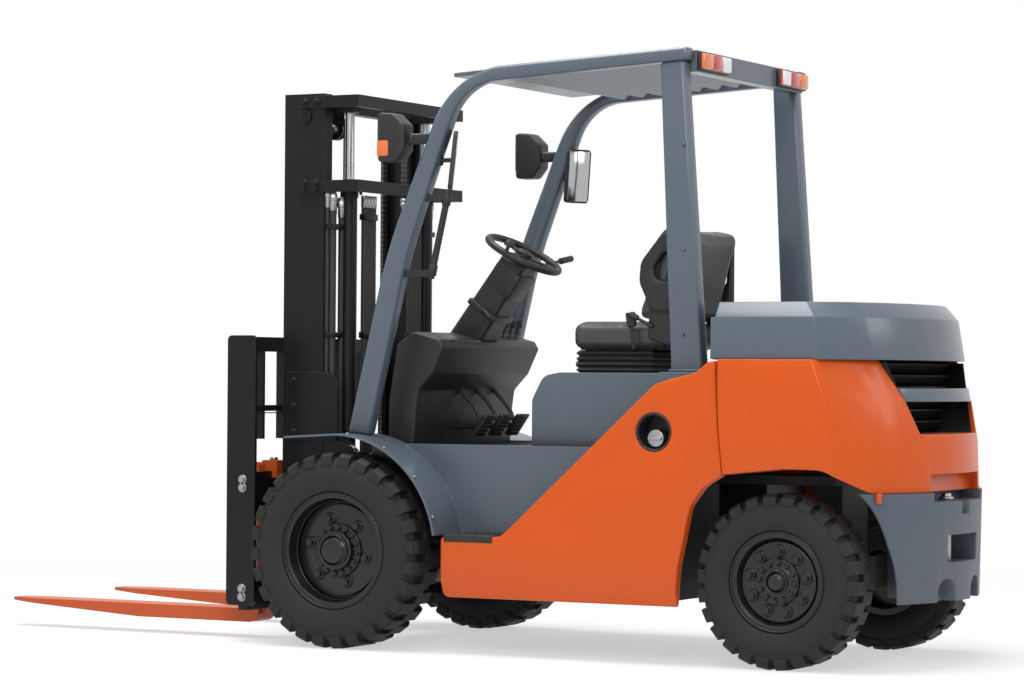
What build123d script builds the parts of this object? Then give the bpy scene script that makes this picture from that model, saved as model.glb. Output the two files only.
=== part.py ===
"""Counterbalance forklift truck, 3.5 t class, engine driven, on pneumatic tyres.

Millimetres, +X towards the forks, +Y to the driver's left, +Z up. The pieces are drawn with the
front axle over x = 0 and the floor at z = 0, then moved along X so that the origin lies under the
middle of the whole truck.
"""
import math
import os

from build123d import *

# Overall sizes
overall_width = 1290.0
wheelbase = 1700.0
fork_face_reach = 510.0
fork_length = 1100.0
tail_reach = 468.0
running_gap = 0.4
moving_gap = 6.0

# Front wheels and drive axle
front_tyre_radius = 352.0
front_tyre_width = 210.0
front_rim_radius = 211.0
front_rim_width = 168.0
front_disc_inset = 62.0
front_hub_radius = 62.0
front_hub_length = 52.0
front_hub_flange = 78.0
hub_flange_depth = 12.0
axle_tube_radius = 68.0
final_drive_radius = 150.0

# Rear wheels and steering axle
rear_tyre_radius = 297.0
rear_tyre_width = 170.0
rear_rim_radius = 172.0
rear_rim_width = 132.0
rear_disc_inset = 34.0
rear_hub_radius = 44.0
rear_hub_length = 30.0
rear_hub_flange = 60.0
rear_wheel_inset = 117.0
kingpin_offset = 123.0
kingpin_radius = 17.0
knuckle_radius = 33.0
stub_radius = 26.0
beam_end_radius = 34.0
beam_half_depth = 82.0
beam_height = 120.0
beam_lug_height = 24.0
steer_clearance = 8.0
pocket_shoulder = 15.0
pocket_lean = 50.0
rim_wall = 9.0
rim_lip = 16.0
rim_flange = 12.0
flank_drop = 0.8
lug_depth = 17.0
lug_width = 46.0
lug_overlap = 12.0
front_lug_count = 28
rear_lug_count = 26

# Frame, tanks and side panels
body_inset = 45.0
panel_thickness = 44.0
tank_inset = 78.0
cover_thickness = 12.0
body_bottom = 200.0
panel_front = -430.0
floor_height = 722.0
floor_thickness = 8.0
step_height = 412.0
shoulder_height = 1000.0
deck_thickness = 36.0
rail_half_width = 235.0
rail_thickness = 28.0
frame_rear = -1494.0
filler_x = -1262.0
filler_drop = 205.0
filler_radius = 66.0
cowl_tyre_gap = 15.0
cowl_wall = 26.0
mudguard_gap = 60.0
mudguard_sheet = 8.0
mudguard_lip = 215.0
mudguard_inset = 27.0

# Overhead guard
leg_inset = 76.0
pillar_splay = 10.0
pillar_width = 60.0
leg_width = 60.0
guard_rear = -1345.0
guard_rear_top = 2117.0
lamp_inset = 38.0
lamp_length = 230.0
roof_bar_count = 8
roof_bar_depth = 46.0
roof_bar_thickness = 10.0
roof_bar_front = -640.0
roof_bar_pitch = 78.0
mirror_turn = 28.4
mirror_lean = 5.9

# Hood and seat
hood_side_gap = 64.0
hood_front = -650.0
hood_rear = -1205.0
hood_drop = 3.0
hood_wall = 14.0
hinge_drop = 14.0
hinge_pin_radius = 6.0
hinge_sleeve_radius = 11.0
hinge_y = 220.0
hinge_half_length = 40.0
seat_half_width = 228.0
suspension_height = 80.0
cushion_height = 102.0
seat_back_height = 345.0
soft_gap = 0.4

# Steering and controls
steering_wheel_radius = 155.0
steering_rim_radius = 13.0
steering_tilt = 28.0
steering_x = -435.0
steering_z = 1432.0
dash_side_gap = 22.0
dash_top = 1144.0

# Counterweight
weight_front = -1494.0
weight_base_bottom = 225.0
weight_base_top = 597.0
weight_rise = 45.0
weight_cover_height = 194.0
weight_crease = 765.0
radiator_half_width = 350.0
rough_inset = 25.0
tail_bow = 112.0
corner_half_width = 435.0
tow_pin_radius = 19.0
tow_slot_half_width = 137.0
tow_slot_bottom = 358.0
tow_slot_top = 452.0
duct_half_width = 375.0
duct_taper = 105.0
duct_bottom = 795.0
slat_count = 6
slat_pitch = 40.0

# Mast
mast_tyre_gap = 57.0
mast_rail_rear = 200.0
mast_rail_depth = 172.0
mast_bottom = 118.0
mast_top = 2022.0
rail_web = 18.0
rail_flange = 20.0
outer_flange_width = 56.0
roller_room = 20.0
inner_flange_width = 48.0
inner_bottom = 136.0
inner_top = 2005.0
tie_height = 44.0
tie_thickness = 14.0
lift_x = 150.0
lift_inset = 98.0
lift_barrel_radius = 30.0
lift_rod_radius = 18.0
lift_barrel_bottom = 172.0
lift_barrel_top = 1700.0
chain_inset = 164.0
chain_width = 26.0
chain_thickness = 12.0
sheave_radius = 39.0
sheave_x = 250.0
sheave_z = 1900.0

# Carriage, backrest and forks
carriage_half_width = 548.0
carriage_bottom = 115.0
carriage_height = 508.0
finger_bar_height = 150.0
finger_bar_depth = 40.0
backrest_top = 1126.0
backrest_plate = 13.0
backrest_depth = 46.0
fork_thickness = 50.0
fork_width = 125.0
fork_half_spacing = 335.0
fork_lift = 60.0
fork_tip_thickness = 12.0
fork_hook = 40.0

# Tilt cylinders
tilt_inset = 28.0
tilt_eye_x = 96.0
tilt_eye_z = 700.0
tilt_base_x = -396.0
tilt_base_z = 500.0
tilt_barrel_radius = 38.0
tilt_barrel_length = 440.0
tilt_rod_radius = 18.0
tilt_eye_radius = 26.0
tilt_eye_width = 24.0
tilt_pin_radius = 12.0
open_pivot_gap = 2.4

# Places that follow from the sizes above
rear_axle_x = -wheelbase
tail_x = rear_axle_x - tail_reach
tip_x = fork_face_reach + fork_length
centre_shift = -(tip_x + tail_x) / 2
front_wheel_y = (overall_width - front_tyre_width) / 2
tyre_inner_face = overall_width / 2 - front_tyre_width
body_half_width = overall_width / 2 - body_inset
mudguard_half_width = overall_width / 2 - mudguard_inset
cowl_half_width = tyre_inner_face - cowl_tyre_gap
mast_half_width = tyre_inner_face - mast_tyre_gap
inner_half_width = mast_half_width - rail_web - roller_room
lift_y = mast_half_width - lift_inset
chain_y = mast_half_width - chain_inset
tilt_half_spacing = mast_half_width - tilt_inset
tank_inside = cowl_half_width - tank_inset
rear_wheel_y = body_half_width - rear_wheel_inset
kingpin_half_track = rear_wheel_y - kingpin_offset
spindle_length = rear_wheel_y - kingpin_half_track
panel_inside = body_half_width - panel_thickness
cowl_inside = cowl_half_width - cowl_wall
hood_half_width = cowl_inside - hood_side_gap
dash_half_width = cowl_inside - dash_side_gap
leg_half_width = panel_inside - leg_inset
pillar_half_width = leg_half_width + pillar_splay
hood_top = shoulder_height - hood_drop
hinge_z = shoulder_height - hinge_drop
filler_z = shoulder_height - filler_drop
weight_body_top = shoulder_height + weight_rise
weight_cover_top = weight_body_top + weight_cover_height
rough_half_width = body_half_width - rough_inset
floor_bottom = floor_height - floor_thickness
mast_front_x = mast_rail_rear + mast_rail_depth
fork_back_x = fork_face_reach - fork_thickness
fork_top_z = fork_lift + fork_thickness
bar_front_x = fork_back_x - 0.5
bar_rear_x = bar_front_x - finger_bar_depth
carriage_top = carriage_bottom + carriage_height
mudguard_inner = front_tyre_radius + mudguard_gap
mudguard_outer = mudguard_inner + mudguard_sheet


def side_plate(outline, y_low, y_high):
    """A flat outline in x and z, made a plate between two values of y."""
    plate = extrude(make_face(outline), amount=y_high - y_low)
    return Pos(0, y_high, 0) * Rot(90, 0, 0) * plate


def closed_line(points, radii=0):
    """A closed outline through corner points, each with its own rounding."""
    if isinstance(radii, (int, float)):
        radii = [radii] * len(points)
    if not any(radii):
        return Polyline(*points, close=True)
    return FilletPolyline(*points, radius=radii, close=True)


def profile_plate(points, y_low, y_high, radii=0):
    return side_plate(closed_line(points, radii), y_low, y_high)


def block(x_low, x_high, y_low, y_high, z_low, z_high):
    size = (x_high - x_low, y_high - y_low, z_high - z_low)
    place = ((x_high + x_low) / 2, (y_high + y_low) / 2, (z_high + z_low) / 2)
    return Pos(*place) * Box(*size)


def cross_bar(radius, x, z, y_low, y_high):
    """A round bar that lies across the truck."""
    return Pos(x, (y_low + y_high) / 2, z) * Rot(90, 0, 0) * Cylinder(radius, y_high - y_low)


def round_bar(radius, start, end):
    """A round bar from one point to another."""
    line = Vector(*end) - Vector(*start)
    return Plane(origin=start, z_dir=line) * Cylinder(
        radius, line.length, align=(Align.CENTER, Align.CENTER, Align.MIN))


def upright(radius, x, y, z_low, z_high):
    return Pos(x, y, (z_low + z_high) / 2) * Cylinder(radius, z_high - z_low)


def other_side(shape):
    return mirror(shape, about=Plane.XZ)


def on_side(shape, side):
    return shape if side > 0 else other_side(shape)


def both_sides(shape):
    return [shape, other_side(shape)]


def fuse(*shapes):
    whole = shapes[0]
    for shape in shapes[1:]:
        whole = whole + shape
    return whole


# Wheels

def lug_section(radius, width):
    """The outline of one lug, as distances from the axle and from the tyre's middle."""
    half = width / 2
    top = math.sqrt(radius ** 2 - (lug_width / 2) ** 2)
    foot = radius - 1.6 * lug_depth
    return [(foot, -lug_overlap), (top, -lug_overlap), (top, 0.74 * half), (top - 0.12 * half, 0.93 * half),
            (top - 0.42 * half, 0.97 * half), (foot - 0.3 * half, 0.7 * half), (foot, 0.5 * half)]


def lugs(radius, width, count):
    """Two staggered rows of tread lugs round a tyre, the first with a corner at the bottom."""
    section = make_face(Polyline(*lug_section(radius, width), close=True))
    lug = Pos(0, 0, -lug_width / 2) * extrude(section, amount=lug_width)
    start = -90 + math.degrees(math.asin(lug_width / 2 / radius))
    rows = []
    for index in range(count):
        angle = start + index * 360 / count
        rows.append(Rot(0, angle, 0) * lug)
        rows.append(other_side(Rot(0, angle + 180 / count, 0) * lug))
    return rows


def tyre(radius, width, rim_radius, rim_width, count):
    """A pneumatic tyre with deep lugs, whose beads sit between the flanges of the rim."""
    half = width / 2
    seat_half = rim_width / 2 - rim_flange - running_gap
    bore = rim_radius - rim_lip + running_gap
    bead = (rim_radius + 2, rim_width / 2 + 3)
    flank = (0.5 * (rim_radius + radius), half - flank_drop)
    edge = (radius - lug_depth - 0.2 * half, 0.9 * half)
    shoulder = (radius - lug_depth, 0.66 * half)

    def low(point):
        return (point[0], -point[1])

    with BuildSketch() as section:
        with BuildLine():
            seat = (bore, seat_half)
            lip = (rim_radius + 2, seat_half)
            Polyline(low(lip), low(seat), seat, lip, bead)
            ThreePointArc(bead, flank, edge)
            Polyline(edge, shoulder, low(shoulder), low(edge))
            ThreePointArc(low(edge), low(flank), low(bead))
            Line(low(bead), low(lip))
        make_face()
    carcass = revolve(section.sketch, Axis.Y)
    return carcass.fuse(*lugs(radius, width, count))


def rim(radius, width, disc_inset, hub, bore_radius, place, side):
    """A pressed wheel: a dished rim with flanges, its disc and a round hub with a cap."""
    hub_radius, hub_length, flange = hub
    x, y, z = place
    half = width / 2
    seat = radius - rim_lip
    inner = seat - rim_wall
    disc = half - disc_inset
    disc_wall = 12.0
    points = [(bore_radius, disc - 60), (hub_radius, disc - 60), (hub_radius, disc - disc_wall),
              (inner - 8, disc - disc_wall), (inner, -half), (radius, -half),
              (radius, -half + 8), (seat, -half + rim_flange), (seat, half - rim_flange),
              (radius, half - 8), (radius, half),
              (inner + 2, half - 4), (inner - 12, disc), (flange, disc),
              (flange, disc + hub_flange_depth), (hub_radius, disc + hub_flange_depth),
              (hub_radius - 6, disc + hub_length), (hub_radius - 22, disc + hub_length + 12),
              (0, disc + hub_length + 12), (0, disc + 6), (bore_radius, disc + 6)]
    wheel = revolve(make_face(Polyline(*points, close=True)), Axis.Y)
    return Pos(x, side * y, z) * on_side(wheel, side)


def front_rim(side):
    hub = (front_hub_radius, front_hub_length, front_hub_flange)
    bore = axle_tube_radius - 24 + running_gap
    place = (0, front_wheel_y, front_tyre_radius)
    return rim(front_rim_radius, front_rim_width, front_disc_inset, hub, bore, place, side)


def rear_rim(side):
    hub = (rear_hub_radius, rear_hub_length, rear_hub_flange)
    bore = stub_radius + running_gap
    place = (rear_axle_x, rear_wheel_y, rear_tyre_radius)
    return rim(rear_rim_radius, rear_rim_width, rear_disc_inset, hub, bore, place, side)


# Axles

def drive_axle():
    """The housing across the front wheels, with the round bulge of its final drive."""
    disc_y = front_wheel_y + front_rim_width / 2 - front_disc_inset
    tube_end = disc_y - 60 - running_gap
    tube = cross_bar(axle_tube_radius, 0, front_tyre_radius, -tube_end, tube_end)
    stubs = cross_bar(axle_tube_radius - 24, 0, front_tyre_radius, -disc_y - 5, disc_y + 5)
    bulge = cross_bar(final_drive_radius, -10, front_tyre_radius, -78, 78)
    pad = block(-150, -10, rail_half_width - 34, rail_half_width + 8,
                front_tyre_radius - 56, front_tyre_radius + 56)
    return fuse(tube, stubs, bulge, *both_sides(pad))


def steer_axle():
    """The steering beam: a box that narrows to a fork round each kingpin."""
    z = rear_tyre_radius
    points = [(beam_half_depth, 0), (beam_half_depth, 130), (beam_end_radius, kingpin_half_track),
              (-beam_end_radius, kingpin_half_track), (-beam_half_depth, 130), (-beam_half_depth, 0)]
    arm = Pos(0, 0, -beam_height / 2) * extrude(make_face(Polyline(*points, close=True)), amount=beam_height)
    end = Pos(0, kingpin_half_track, 0) * Cylinder(beam_end_radius, beam_height)
    mouth_reach = knuckle_radius + 10
    mouth = Pos(0, kingpin_half_track, 0) * Cylinder(mouth_reach, beam_height - 2 * beam_lug_height)
    pin = Pos(0, kingpin_half_track, 0) * Cylinder(kingpin_radius, beam_height + 10)
    half = Pos(rear_axle_x, 0, z) * (arm + end - mouth + pin)
    saddle = block(rear_axle_x - 58, rear_axle_x + 58, -60, 60, z + beam_height / 2 - 4,
                   z + beam_height / 2 + 20)
    return fuse(half, other_side(half), saddle)


def knuckle(side):
    """The steering knuckle: a sleeve on the kingpin with the stub that carries the wheel."""
    z = rear_tyre_radius
    height = beam_height - 2 * beam_lug_height - 2 * running_gap
    y = kingpin_half_track
    disc_y = rear_wheel_y + rear_rim_width / 2 - rear_disc_inset
    sleeve = upright(knuckle_radius, rear_axle_x, y, z - height / 2, z + height / 2)
    stub = cross_bar(stub_radius, rear_axle_x, z, y + 6, disc_y + 5)
    bore = upright(kingpin_radius + running_gap, rear_axle_x, y, z - height, z + height)
    return on_side(sleeve + stub - bore, side)


def wheel_pocket(side):
    """The room that a rear wheel sweeps as it steers, with clearance all round."""
    outer = spindle_length + rear_tyre_width / 2
    reach = math.hypot(outer, rear_tyre_radius) + steer_clearance
    top_z = 2 * rear_tyre_radius + steer_clearance
    mid = (reach - pocket_shoulder, 0.5 * (rear_tyre_radius + top_z))
    top = (reach - pocket_lean, top_z)
    with BuildSketch() as section:
        with BuildLine():
            Polyline((0, -10), (reach, -10), (reach, rear_tyre_radius))
            ThreePointArc((reach, rear_tyre_radius), mid, top)
            Polyline(top, (0, top_z), (0, -10))
        make_face()
    room = revolve(Plane.XZ * section.sketch, Axis.Z)
    return Pos(rear_axle_x, side * kingpin_half_track, 0) * room


# Frame, tanks and body panels

def body_line():
    """Corners of the body's upper edge, from the foot step up to the seat's side."""
    return [(panel_front, step_height), (-668, step_height + 8), (-722, 466), (-1199, shoulder_height - 100)]


def side_panel(side):
    """The painted side cover, with a filler opening and a lower edge that turns in."""
    top = shoulder_height
    rear = [(-1263, top - 43), (-1322, top - 24), (-1417, top - 2), (-1462, top + 34), (-1490, top + 40),
            (-1490, top), (-1500, 820), (-1518, 652), (-1452, 612), (-1400, 545), (-1354, 330),
            (-1344, body_bottom)]
    points = body_line() + rear + [(panel_front, body_bottom)]
    radii = [14, 40, 30, 120, 60, 60, 14, 8, 0, 0, 0, 0, 60, 90, 200, 0, 20]
    panel = profile_plate(points, panel_inside, body_half_width, radii)
    edge = Polyline((body_half_width - 26, body_bottom - 1), (body_half_width + 1, body_bottom - 1),
                    (body_half_width + 1, body_bottom + 60), close=True)
    turn_in = Plane.YZ.offset(-1600) * extrude(make_face(edge), amount=1300)
    opening = cross_bar(filler_radius, filler_x, filler_z, panel_inside - 1, body_half_width + 1)
    return on_side(panel - turn_in - opening, side)


def fuel_filler():
    """The round pot behind the filler opening, with its cap low inside."""
    outer = body_half_width - 6
    pot = cross_bar(filler_radius - running_gap, filler_x, filler_z, outer - 84, outer)
    hollow = cross_bar(filler_radius - 8, filler_x, filler_z, outer - 76, outer + 10)
    cap = cross_bar(30, filler_x, filler_z - 22, outer - 78, outer - 28)
    return pot - hollow + cap


def tank(side):
    """The box beside each frame rail that fills the space behind the side panel."""
    top = [(x, z - cover_thickness) for x, z in body_line()]
    top[0] = (panel_front - 10, step_height - cover_thickness)
    deck_bottom = shoulder_height - deck_thickness
    points = top + [(-1263, shoulder_height - 55), (-1322, deck_bottom), (frame_rear, deck_bottom),
                    (frame_rear, 672),
                    (-1330, 672), (-1330, body_bottom + 20), (panel_front - 10, body_bottom + 20)]
    box = profile_plate(points, tank_inside, panel_inside)
    pot_room = cross_bar(filler_radius + 4, filler_x, filler_z, panel_inside - 60, panel_inside + 1)
    return on_side(box - pot_room, side)


def tilt_bracket():
    """Two lugs on the frame that carry the rear pin of a tilt cylinder."""
    gap = tilt_eye_width / 2 + running_gap
    lugs = []
    for low, high in ((-gap - 18, -gap), (gap, gap + 18)):
        lugs.append(profile_plate([(-442, tilt_base_z - 40), (-442, tilt_base_z + 40),
                                   (tilt_base_x + 8, tilt_base_z + 26), (tilt_base_x + 26, tilt_base_z),
                                   (tilt_base_x + 8, tilt_base_z - 26)],
                                  tilt_half_spacing + low, tilt_half_spacing + high))
    pin = cross_bar(tilt_pin_radius, tilt_base_x, tilt_base_z, tilt_half_spacing - gap - 24,
                    tilt_half_spacing + gap + 24)
    return fuse(*lugs, pin)


def frame():
    """Two deep rails with a tank on each side, cross members and the rear axle cradle."""
    rail_inside = rail_half_width - rail_thickness
    rail = profile_plate([(-150, front_tyre_radius - 50), (-150, 640), (-200, floor_bottom),
                          (frame_rear, floor_bottom), (frame_rear, 668), (-1330, 655), (-1330, 260),
                          (-420, 260)], rail_inside, rail_half_width)
    front_web = block(-468, -440, rail_half_width - 2, cowl_inside, 300, 640)
    rear_web = block(-1330, -1302, rail_half_width - 2, tank_inside + 2, body_bottom + 20, floor_bottom)
    floor_beam = block(-690, -640, -rail_half_width, rail_half_width, 650, floor_bottom)
    rear_beam = block(frame_rear, frame_rear + 24, -tank_inside - 2, tank_inside + 2, 668, floor_bottom)
    cradle_top = block(rear_axle_x - 80, -1310, -rail_half_width, rail_half_width, 612, 645)
    cradle_joint = block(-1334, -1300, -rail_half_width, rail_half_width, 612, floor_bottom)
    saddle_top = rear_tyre_radius + beam_height / 2 + 20
    cradle = block(rear_axle_x - 58, rear_axle_x + 58, -118, 118, saddle_top, 616)
    parts = [floor_beam, rear_beam, cradle_top, cradle_joint, cradle]
    for side in (1, -1):
        parts.append(tank(side))
        for piece in (rail, front_web, rear_web, tilt_bracket()):
            parts.append(on_side(piece, side))
    return fuse(*parts)


def mudguard():
    """A bent sheet over the front tyre that runs forward as a flat lip."""
    z = front_tyre_radius
    low_angle = math.radians(9)
    mid_angle = math.radians(50)

    def on(radius, angle):
        return (-radius * math.cos(angle), z + radius * math.sin(angle))

    drop = 12.0
    with BuildSketch() as section:
        with BuildLine():
            Polyline((0, z + mudguard_inner), (mudguard_lip, z + mudguard_inner - drop),
                     (mudguard_lip, z + mudguard_outer - drop), (0, z + mudguard_outer))
            ThreePointArc((0, z + mudguard_outer), on(mudguard_outer, mid_angle),
                          on(mudguard_outer, low_angle))
            Line(on(mudguard_outer, low_angle), on(mudguard_inner, low_angle))
            ThreePointArc(on(mudguard_inner, low_angle), on(mudguard_inner, mid_angle),
                          (0, z + mudguard_inner))
        make_face()
    sheet = extrude(section.sketch, amount=mudguard_half_width - cowl_inside)
    return Pos(0, mudguard_half_width, 0) * Rot(90, 0, 0) * sheet


def cowl(side):
    """The inner side wall beside the floor, the sloping cover over the tank and the mudguard."""
    line = body_line()
    low = [(x, z - cover_thickness) for x, z in line]
    rise = floor_height + 14
    slope = (line[3][0] - line[2][0]) / (line[3][1] - line[2][1])
    wall_rear = low[2][0] + (rise - low[2][1]) * slope
    wall = profile_plate([(-40, rise), (wall_rear, rise), low[2], low[1], (panel_front - 10, low[0][1]),
                          (panel_front - 10, 560), (-40, 640)], cowl_inside, cowl_half_width)
    web = profile_plate([(panel_front - 10, low[0][1]), (-100, low[0][1]), (-100, 700),
                         (panel_front - 10, 600)],
                        cowl_inside, cowl_half_width)
    web = web - cross_bar(mudguard_inner, 0, front_tyre_radius, cowl_inside - 1, cowl_half_width + 1)
    deck_bottom = shoulder_height - deck_thickness
    cover = profile_plate(line + [(-1240, shoulder_height - 52), (-1262, shoulder_height),
                                  (frame_rear, shoulder_height), (frame_rear, deck_bottom),
                                  (-1322, deck_bottom), (-1263, shoulder_height - 55)]
                          + low[:0:-1] + [(panel_front - 10, low[0][1])],
                          cowl_half_width - 2, panel_inside)
    return on_side(fuse(wall, web, cover, mudguard()), side)


def floor_plate():
    """The driver's floor, open under the hood."""
    plate = block(-1000, -90, -cowl_inside, cowl_inside, floor_bottom, floor_height)
    opening = block(hood_rear - 1, hood_front - hood_wall, -hood_half_width + hood_wall,
                    hood_half_width - hood_wall, floor_bottom - 1, floor_height + 1)
    return plate - opening


def rear_deck():
    """The plate between the hood and the counterweight, with the wall behind the engine."""
    half = cowl_half_width - 2
    plate = block(frame_rear, hood_rear - 12, -half, half, shoulder_height - deck_thickness, shoulder_height)
    wall = block(hood_rear - 24, hood_rear - 12, -tank_inside, tank_inside, floor_bottom, shoulder_height)
    reach = hinge_half_length + 18
    pin = cross_bar(hinge_pin_radius, hood_rear, hinge_z, hinge_y - reach, hinge_y + reach)
    parts = [plate, wall]
    for side in (1, -1):
        parts.append(on_side(pin, side))
        for low in (hinge_y - reach, hinge_y + reach - 16):
            plate = block(hood_rear - 14, hood_rear + 8, low, low + 16, hinge_z - 8, hinge_z + 8)
            parts.append(on_side(plate, side))
    return fuse(*parts)


def power_unit():
    """Plain blocks for the engine, its gearbox and the radiator."""
    engine = block(-1180, -700, -190, 190, 360, hood_top - 97)
    mounts = block(-1000, -940, -rail_half_width + rail_thickness, rail_half_width - rail_thickness, 500, 560)
    axle_room = cross_bar(final_drive_radius, -10, front_tyre_radius, -130, 130)
    gearbox = block(-702, -100, -120, 120, 290, 540) - axle_room
    radiator = block(-1640, -1560, -radiator_half_width, radiator_half_width, 705, weight_body_top - 5)
    return [fuse(engine, mounts, gearbox), radiator]


# Overhead guard

guard_outer = [(13, 746), (-150, 1430), (-415, 2071), (guard_rear, guard_rear_top)]
guard_inner = [(guard_rear, guard_rear_top - 45), (-458, 2020), (-235, 1430), (-75, 746)]


def rail_underside(x):
    """Height of the roof rail's lower edge."""
    (x_rear, z_rear), (x_front, z_front) = guard_inner[0], guard_inner[1]
    return z_rear + (x - x_rear) * (z_front - z_rear) / (x_front - x_rear)


def guard_pillar(side):
    """The front pillar that bends back to become the roof rail, cut to sit on the mudguard."""
    radii = [0, 2000, 330, 0, 0, 200, 2000, 0]
    low, high = pillar_half_width - pillar_width / 2, pillar_half_width + pillar_width / 2
    rail = profile_plate(guard_outer + guard_inner, low, high, radii)
    seat = cross_bar(mudguard_outer, 0, front_tyre_radius, low - 1, high + 1)
    return on_side(rail - seat, side)


def guard_legs():
    """The two rear legs, wider at the foot."""
    front_top, rear_top = -1235.0, -1325.0
    points = [(front_top, rail_underside(front_top)), (rear_top, rail_underside(rear_top)),
              (-1402, shoulder_height), (-1283, shoulder_height)]
    leg = profile_plate(points, leg_half_width - leg_width / 2, leg_half_width + leg_width / 2)
    return both_sides(leg)


def guard_roof():
    """A front plate, a row of slanted bars and the rear beam, all between the roof rails."""
    half = pillar_half_width - pillar_width / 2
    front = profile_plate([(-395, 2052), (-395, 2066), (-560, 2076), (-560, 2062)], -half, half)
    rear = block(-1352, -1300, -half, half, guard_rear_top - 83, guard_rear_top - 9)
    for leg in guard_legs():
        rear = rear - leg
    solids = [front, rear]
    for index in range(roof_bar_count):
        x = roof_bar_front - index * roof_bar_pitch
        place = Pos(x, 0, rail_underside(x) + 20) * Rot(0, 28, 0)
        solids.append(place * Box(roof_bar_depth, 2 * half, roof_bar_thickness))
    return solids


def rear_lamps():
    """A lamp cluster at each end of the rear beam."""
    outer = pillar_half_width - lamp_inset
    lamp = block(-1376, -1352, outer - lamp_length, outer, guard_rear_top - 73, guard_rear_top - 17)
    return both_sides(fillet(lamp.edges().group_by(Axis.X)[0], 8))


def head_lamps():
    """The lamp housing in front of each pillar, on its bracket."""
    body = profile_plate([(-136, 1748), (-136, 1926), (-200, 1922), (-244, 1880), (-244, 1790), (-210, 1748)],
                         pillar_half_width - 6, pillar_half_width + 70, [14, 14, 30, 20, 20, 20])
    bracket = block(-340, -240, pillar_half_width + 10, pillar_half_width + 26, 1810, 1850)
    pillar = guard_pillar(1)
    return both_sides(body + (bracket - pillar))


def mirrors():
    """A driving mirror behind each pillar, turned towards the driver."""
    plate = extrude(RectangleRounded(106, 206, 16), amount=16)
    turn = Rot(0, 0, mirror_turn - 90) * Rot(90 + mirror_lean, 0, 0)
    plate = Pos(-400, pillar_half_width - 1, 1752) * turn * plate
    arm = round_bar(8, (-408, pillar_half_width - 1, 1752), (-330, pillar_half_width - 1, 1752))
    return both_sides(plate + (arm - guard_pillar(1)))


def assist_grip():
    """The grab bar behind the left pillar."""
    y_low, y_high = pillar_half_width - 12, pillar_half_width + 12
    bar = round_bar(12, (-392, pillar_half_width, 1640), (-322, pillar_half_width, 1330))
    upper = block(-392, -285, y_low, y_high, 1606, 1630)
    lower = block(-330, -200, y_low, y_high, 1336, 1360)
    return fuse(bar, upper, lower) - guard_pillar(1)


# Hood, seat and steering

def hood():
    """The engine cover: a hollow box with a rounded front, open below and at the back."""
    base = floor_height + 1
    brow = hood_top - 97
    points = [(hood_front, base), (hood_front, brow), (hood_front - 46, hood_top - 12),
              (hood_front - 112, hood_top), (hood_rear, hood_top), (hood_rear, base)]
    radii = [0, 60, 50, 60, 0, 0]
    body = profile_plate(points, -hood_half_width, hood_half_width, radii)
    inner = [(hood_front - hood_wall, base - 1), (hood_front - hood_wall, brow),
             (hood_front - 46 - hood_wall, hood_top - 12 - hood_wall),
             (hood_front - 112 - hood_wall, hood_top - hood_wall),
             (hood_rear - 1, hood_top - hood_wall), (hood_rear - 1, base - 1)]
    hollow = profile_plate(inner, -hood_half_width + hood_wall, hood_half_width - hood_wall)
    shell = body - hollow
    y_low, y_high = hinge_y - hinge_half_length, hinge_y + hinge_half_length
    notch = block(hood_rear - 1, hood_rear + 16, y_low - 26, y_high + 26, hinge_z - 20, hood_top + 1)
    web = block(hood_rear, hood_rear + 17, y_low, y_high, hood_top - hood_wall, hood_top)
    sleeve = cross_bar(hinge_sleeve_radius, hood_rear, hinge_z, y_low, y_high)
    bore = cross_bar(hinge_pin_radius + running_gap, hood_rear, hinge_z, y_low - 1, y_high + 1)
    for side in (1, -1):
        shell = shell - on_side(notch, side) + on_side(web + sleeve - bore, side)
    return shell


def seat_suspension():
    """The folded bellows box under the seat."""
    z = hood_top
    fold = suspension_height / 4
    shape = None
    for index in range(4):
        low, high = z + index * fold, z + (index + 1) * fold
        ring = block(-1062, -756, -190, 190, low, high)
        ring = chamfer(ring.edges().filter_by(Axis.X) + ring.edges().filter_by(Axis.Y), fold * 0.4)
        shape = ring if shape is None else shape + ring
    return shape


def seat_cushion():
    z = hood_top + suspension_height
    pad = block(-1140, -738, -seat_half_width, seat_half_width, z + soft_gap, z + cushion_height)
    return fillet(pad.edges(), 30)


def seat_back():
    """The back cushion, which leans back from its foot."""
    low = hood_top + suspension_height + cushion_height + soft_gap
    high = low + seat_back_height
    points = [(-1010, low), (-1092, high - 30), (-1128, high), (-1204, high - 12), (-1206, high - 50),
              (-1150, low + 70), (-1146, low)]
    return profile_plate(points, -seat_half_width, seat_half_width, [20, 40, 24, 24, 24, 40, 16])


def seat_wings():
    """The side supports of the seat: an open ring beside the back on a cover over its hinge."""
    y_low = seat_half_width + soft_gap
    low = hood_top + suspension_height
    ring = profile_plate([(-1176, low + 426), (-1120, low + 410), (-1042, low + 314), (-1034, low + 244),
                          (-1082, low + 140), (-1176, low + 136)], y_low, y_low + 34, [20, 50, 40, 40, 40, 20])
    window = profile_plate([(-1150, low + 364), (-1128, low + 340), (-1094, low + 290), (-1102, low + 252),
                            (-1150, low + 240)], y_low - 1, y_low + 35, 10)
    cover = profile_plate([(-1165, low + 150), (-1072, low + 150), (-1064, low + 40), (-1165, low + 8)],
                          y_low, y_low + 22, 12)
    return both_sides(fuse(ring - window, cover))


def steering_axis():
    lean = math.radians(steering_tilt)
    return (-math.sin(lean), 0, math.cos(lean))


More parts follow.
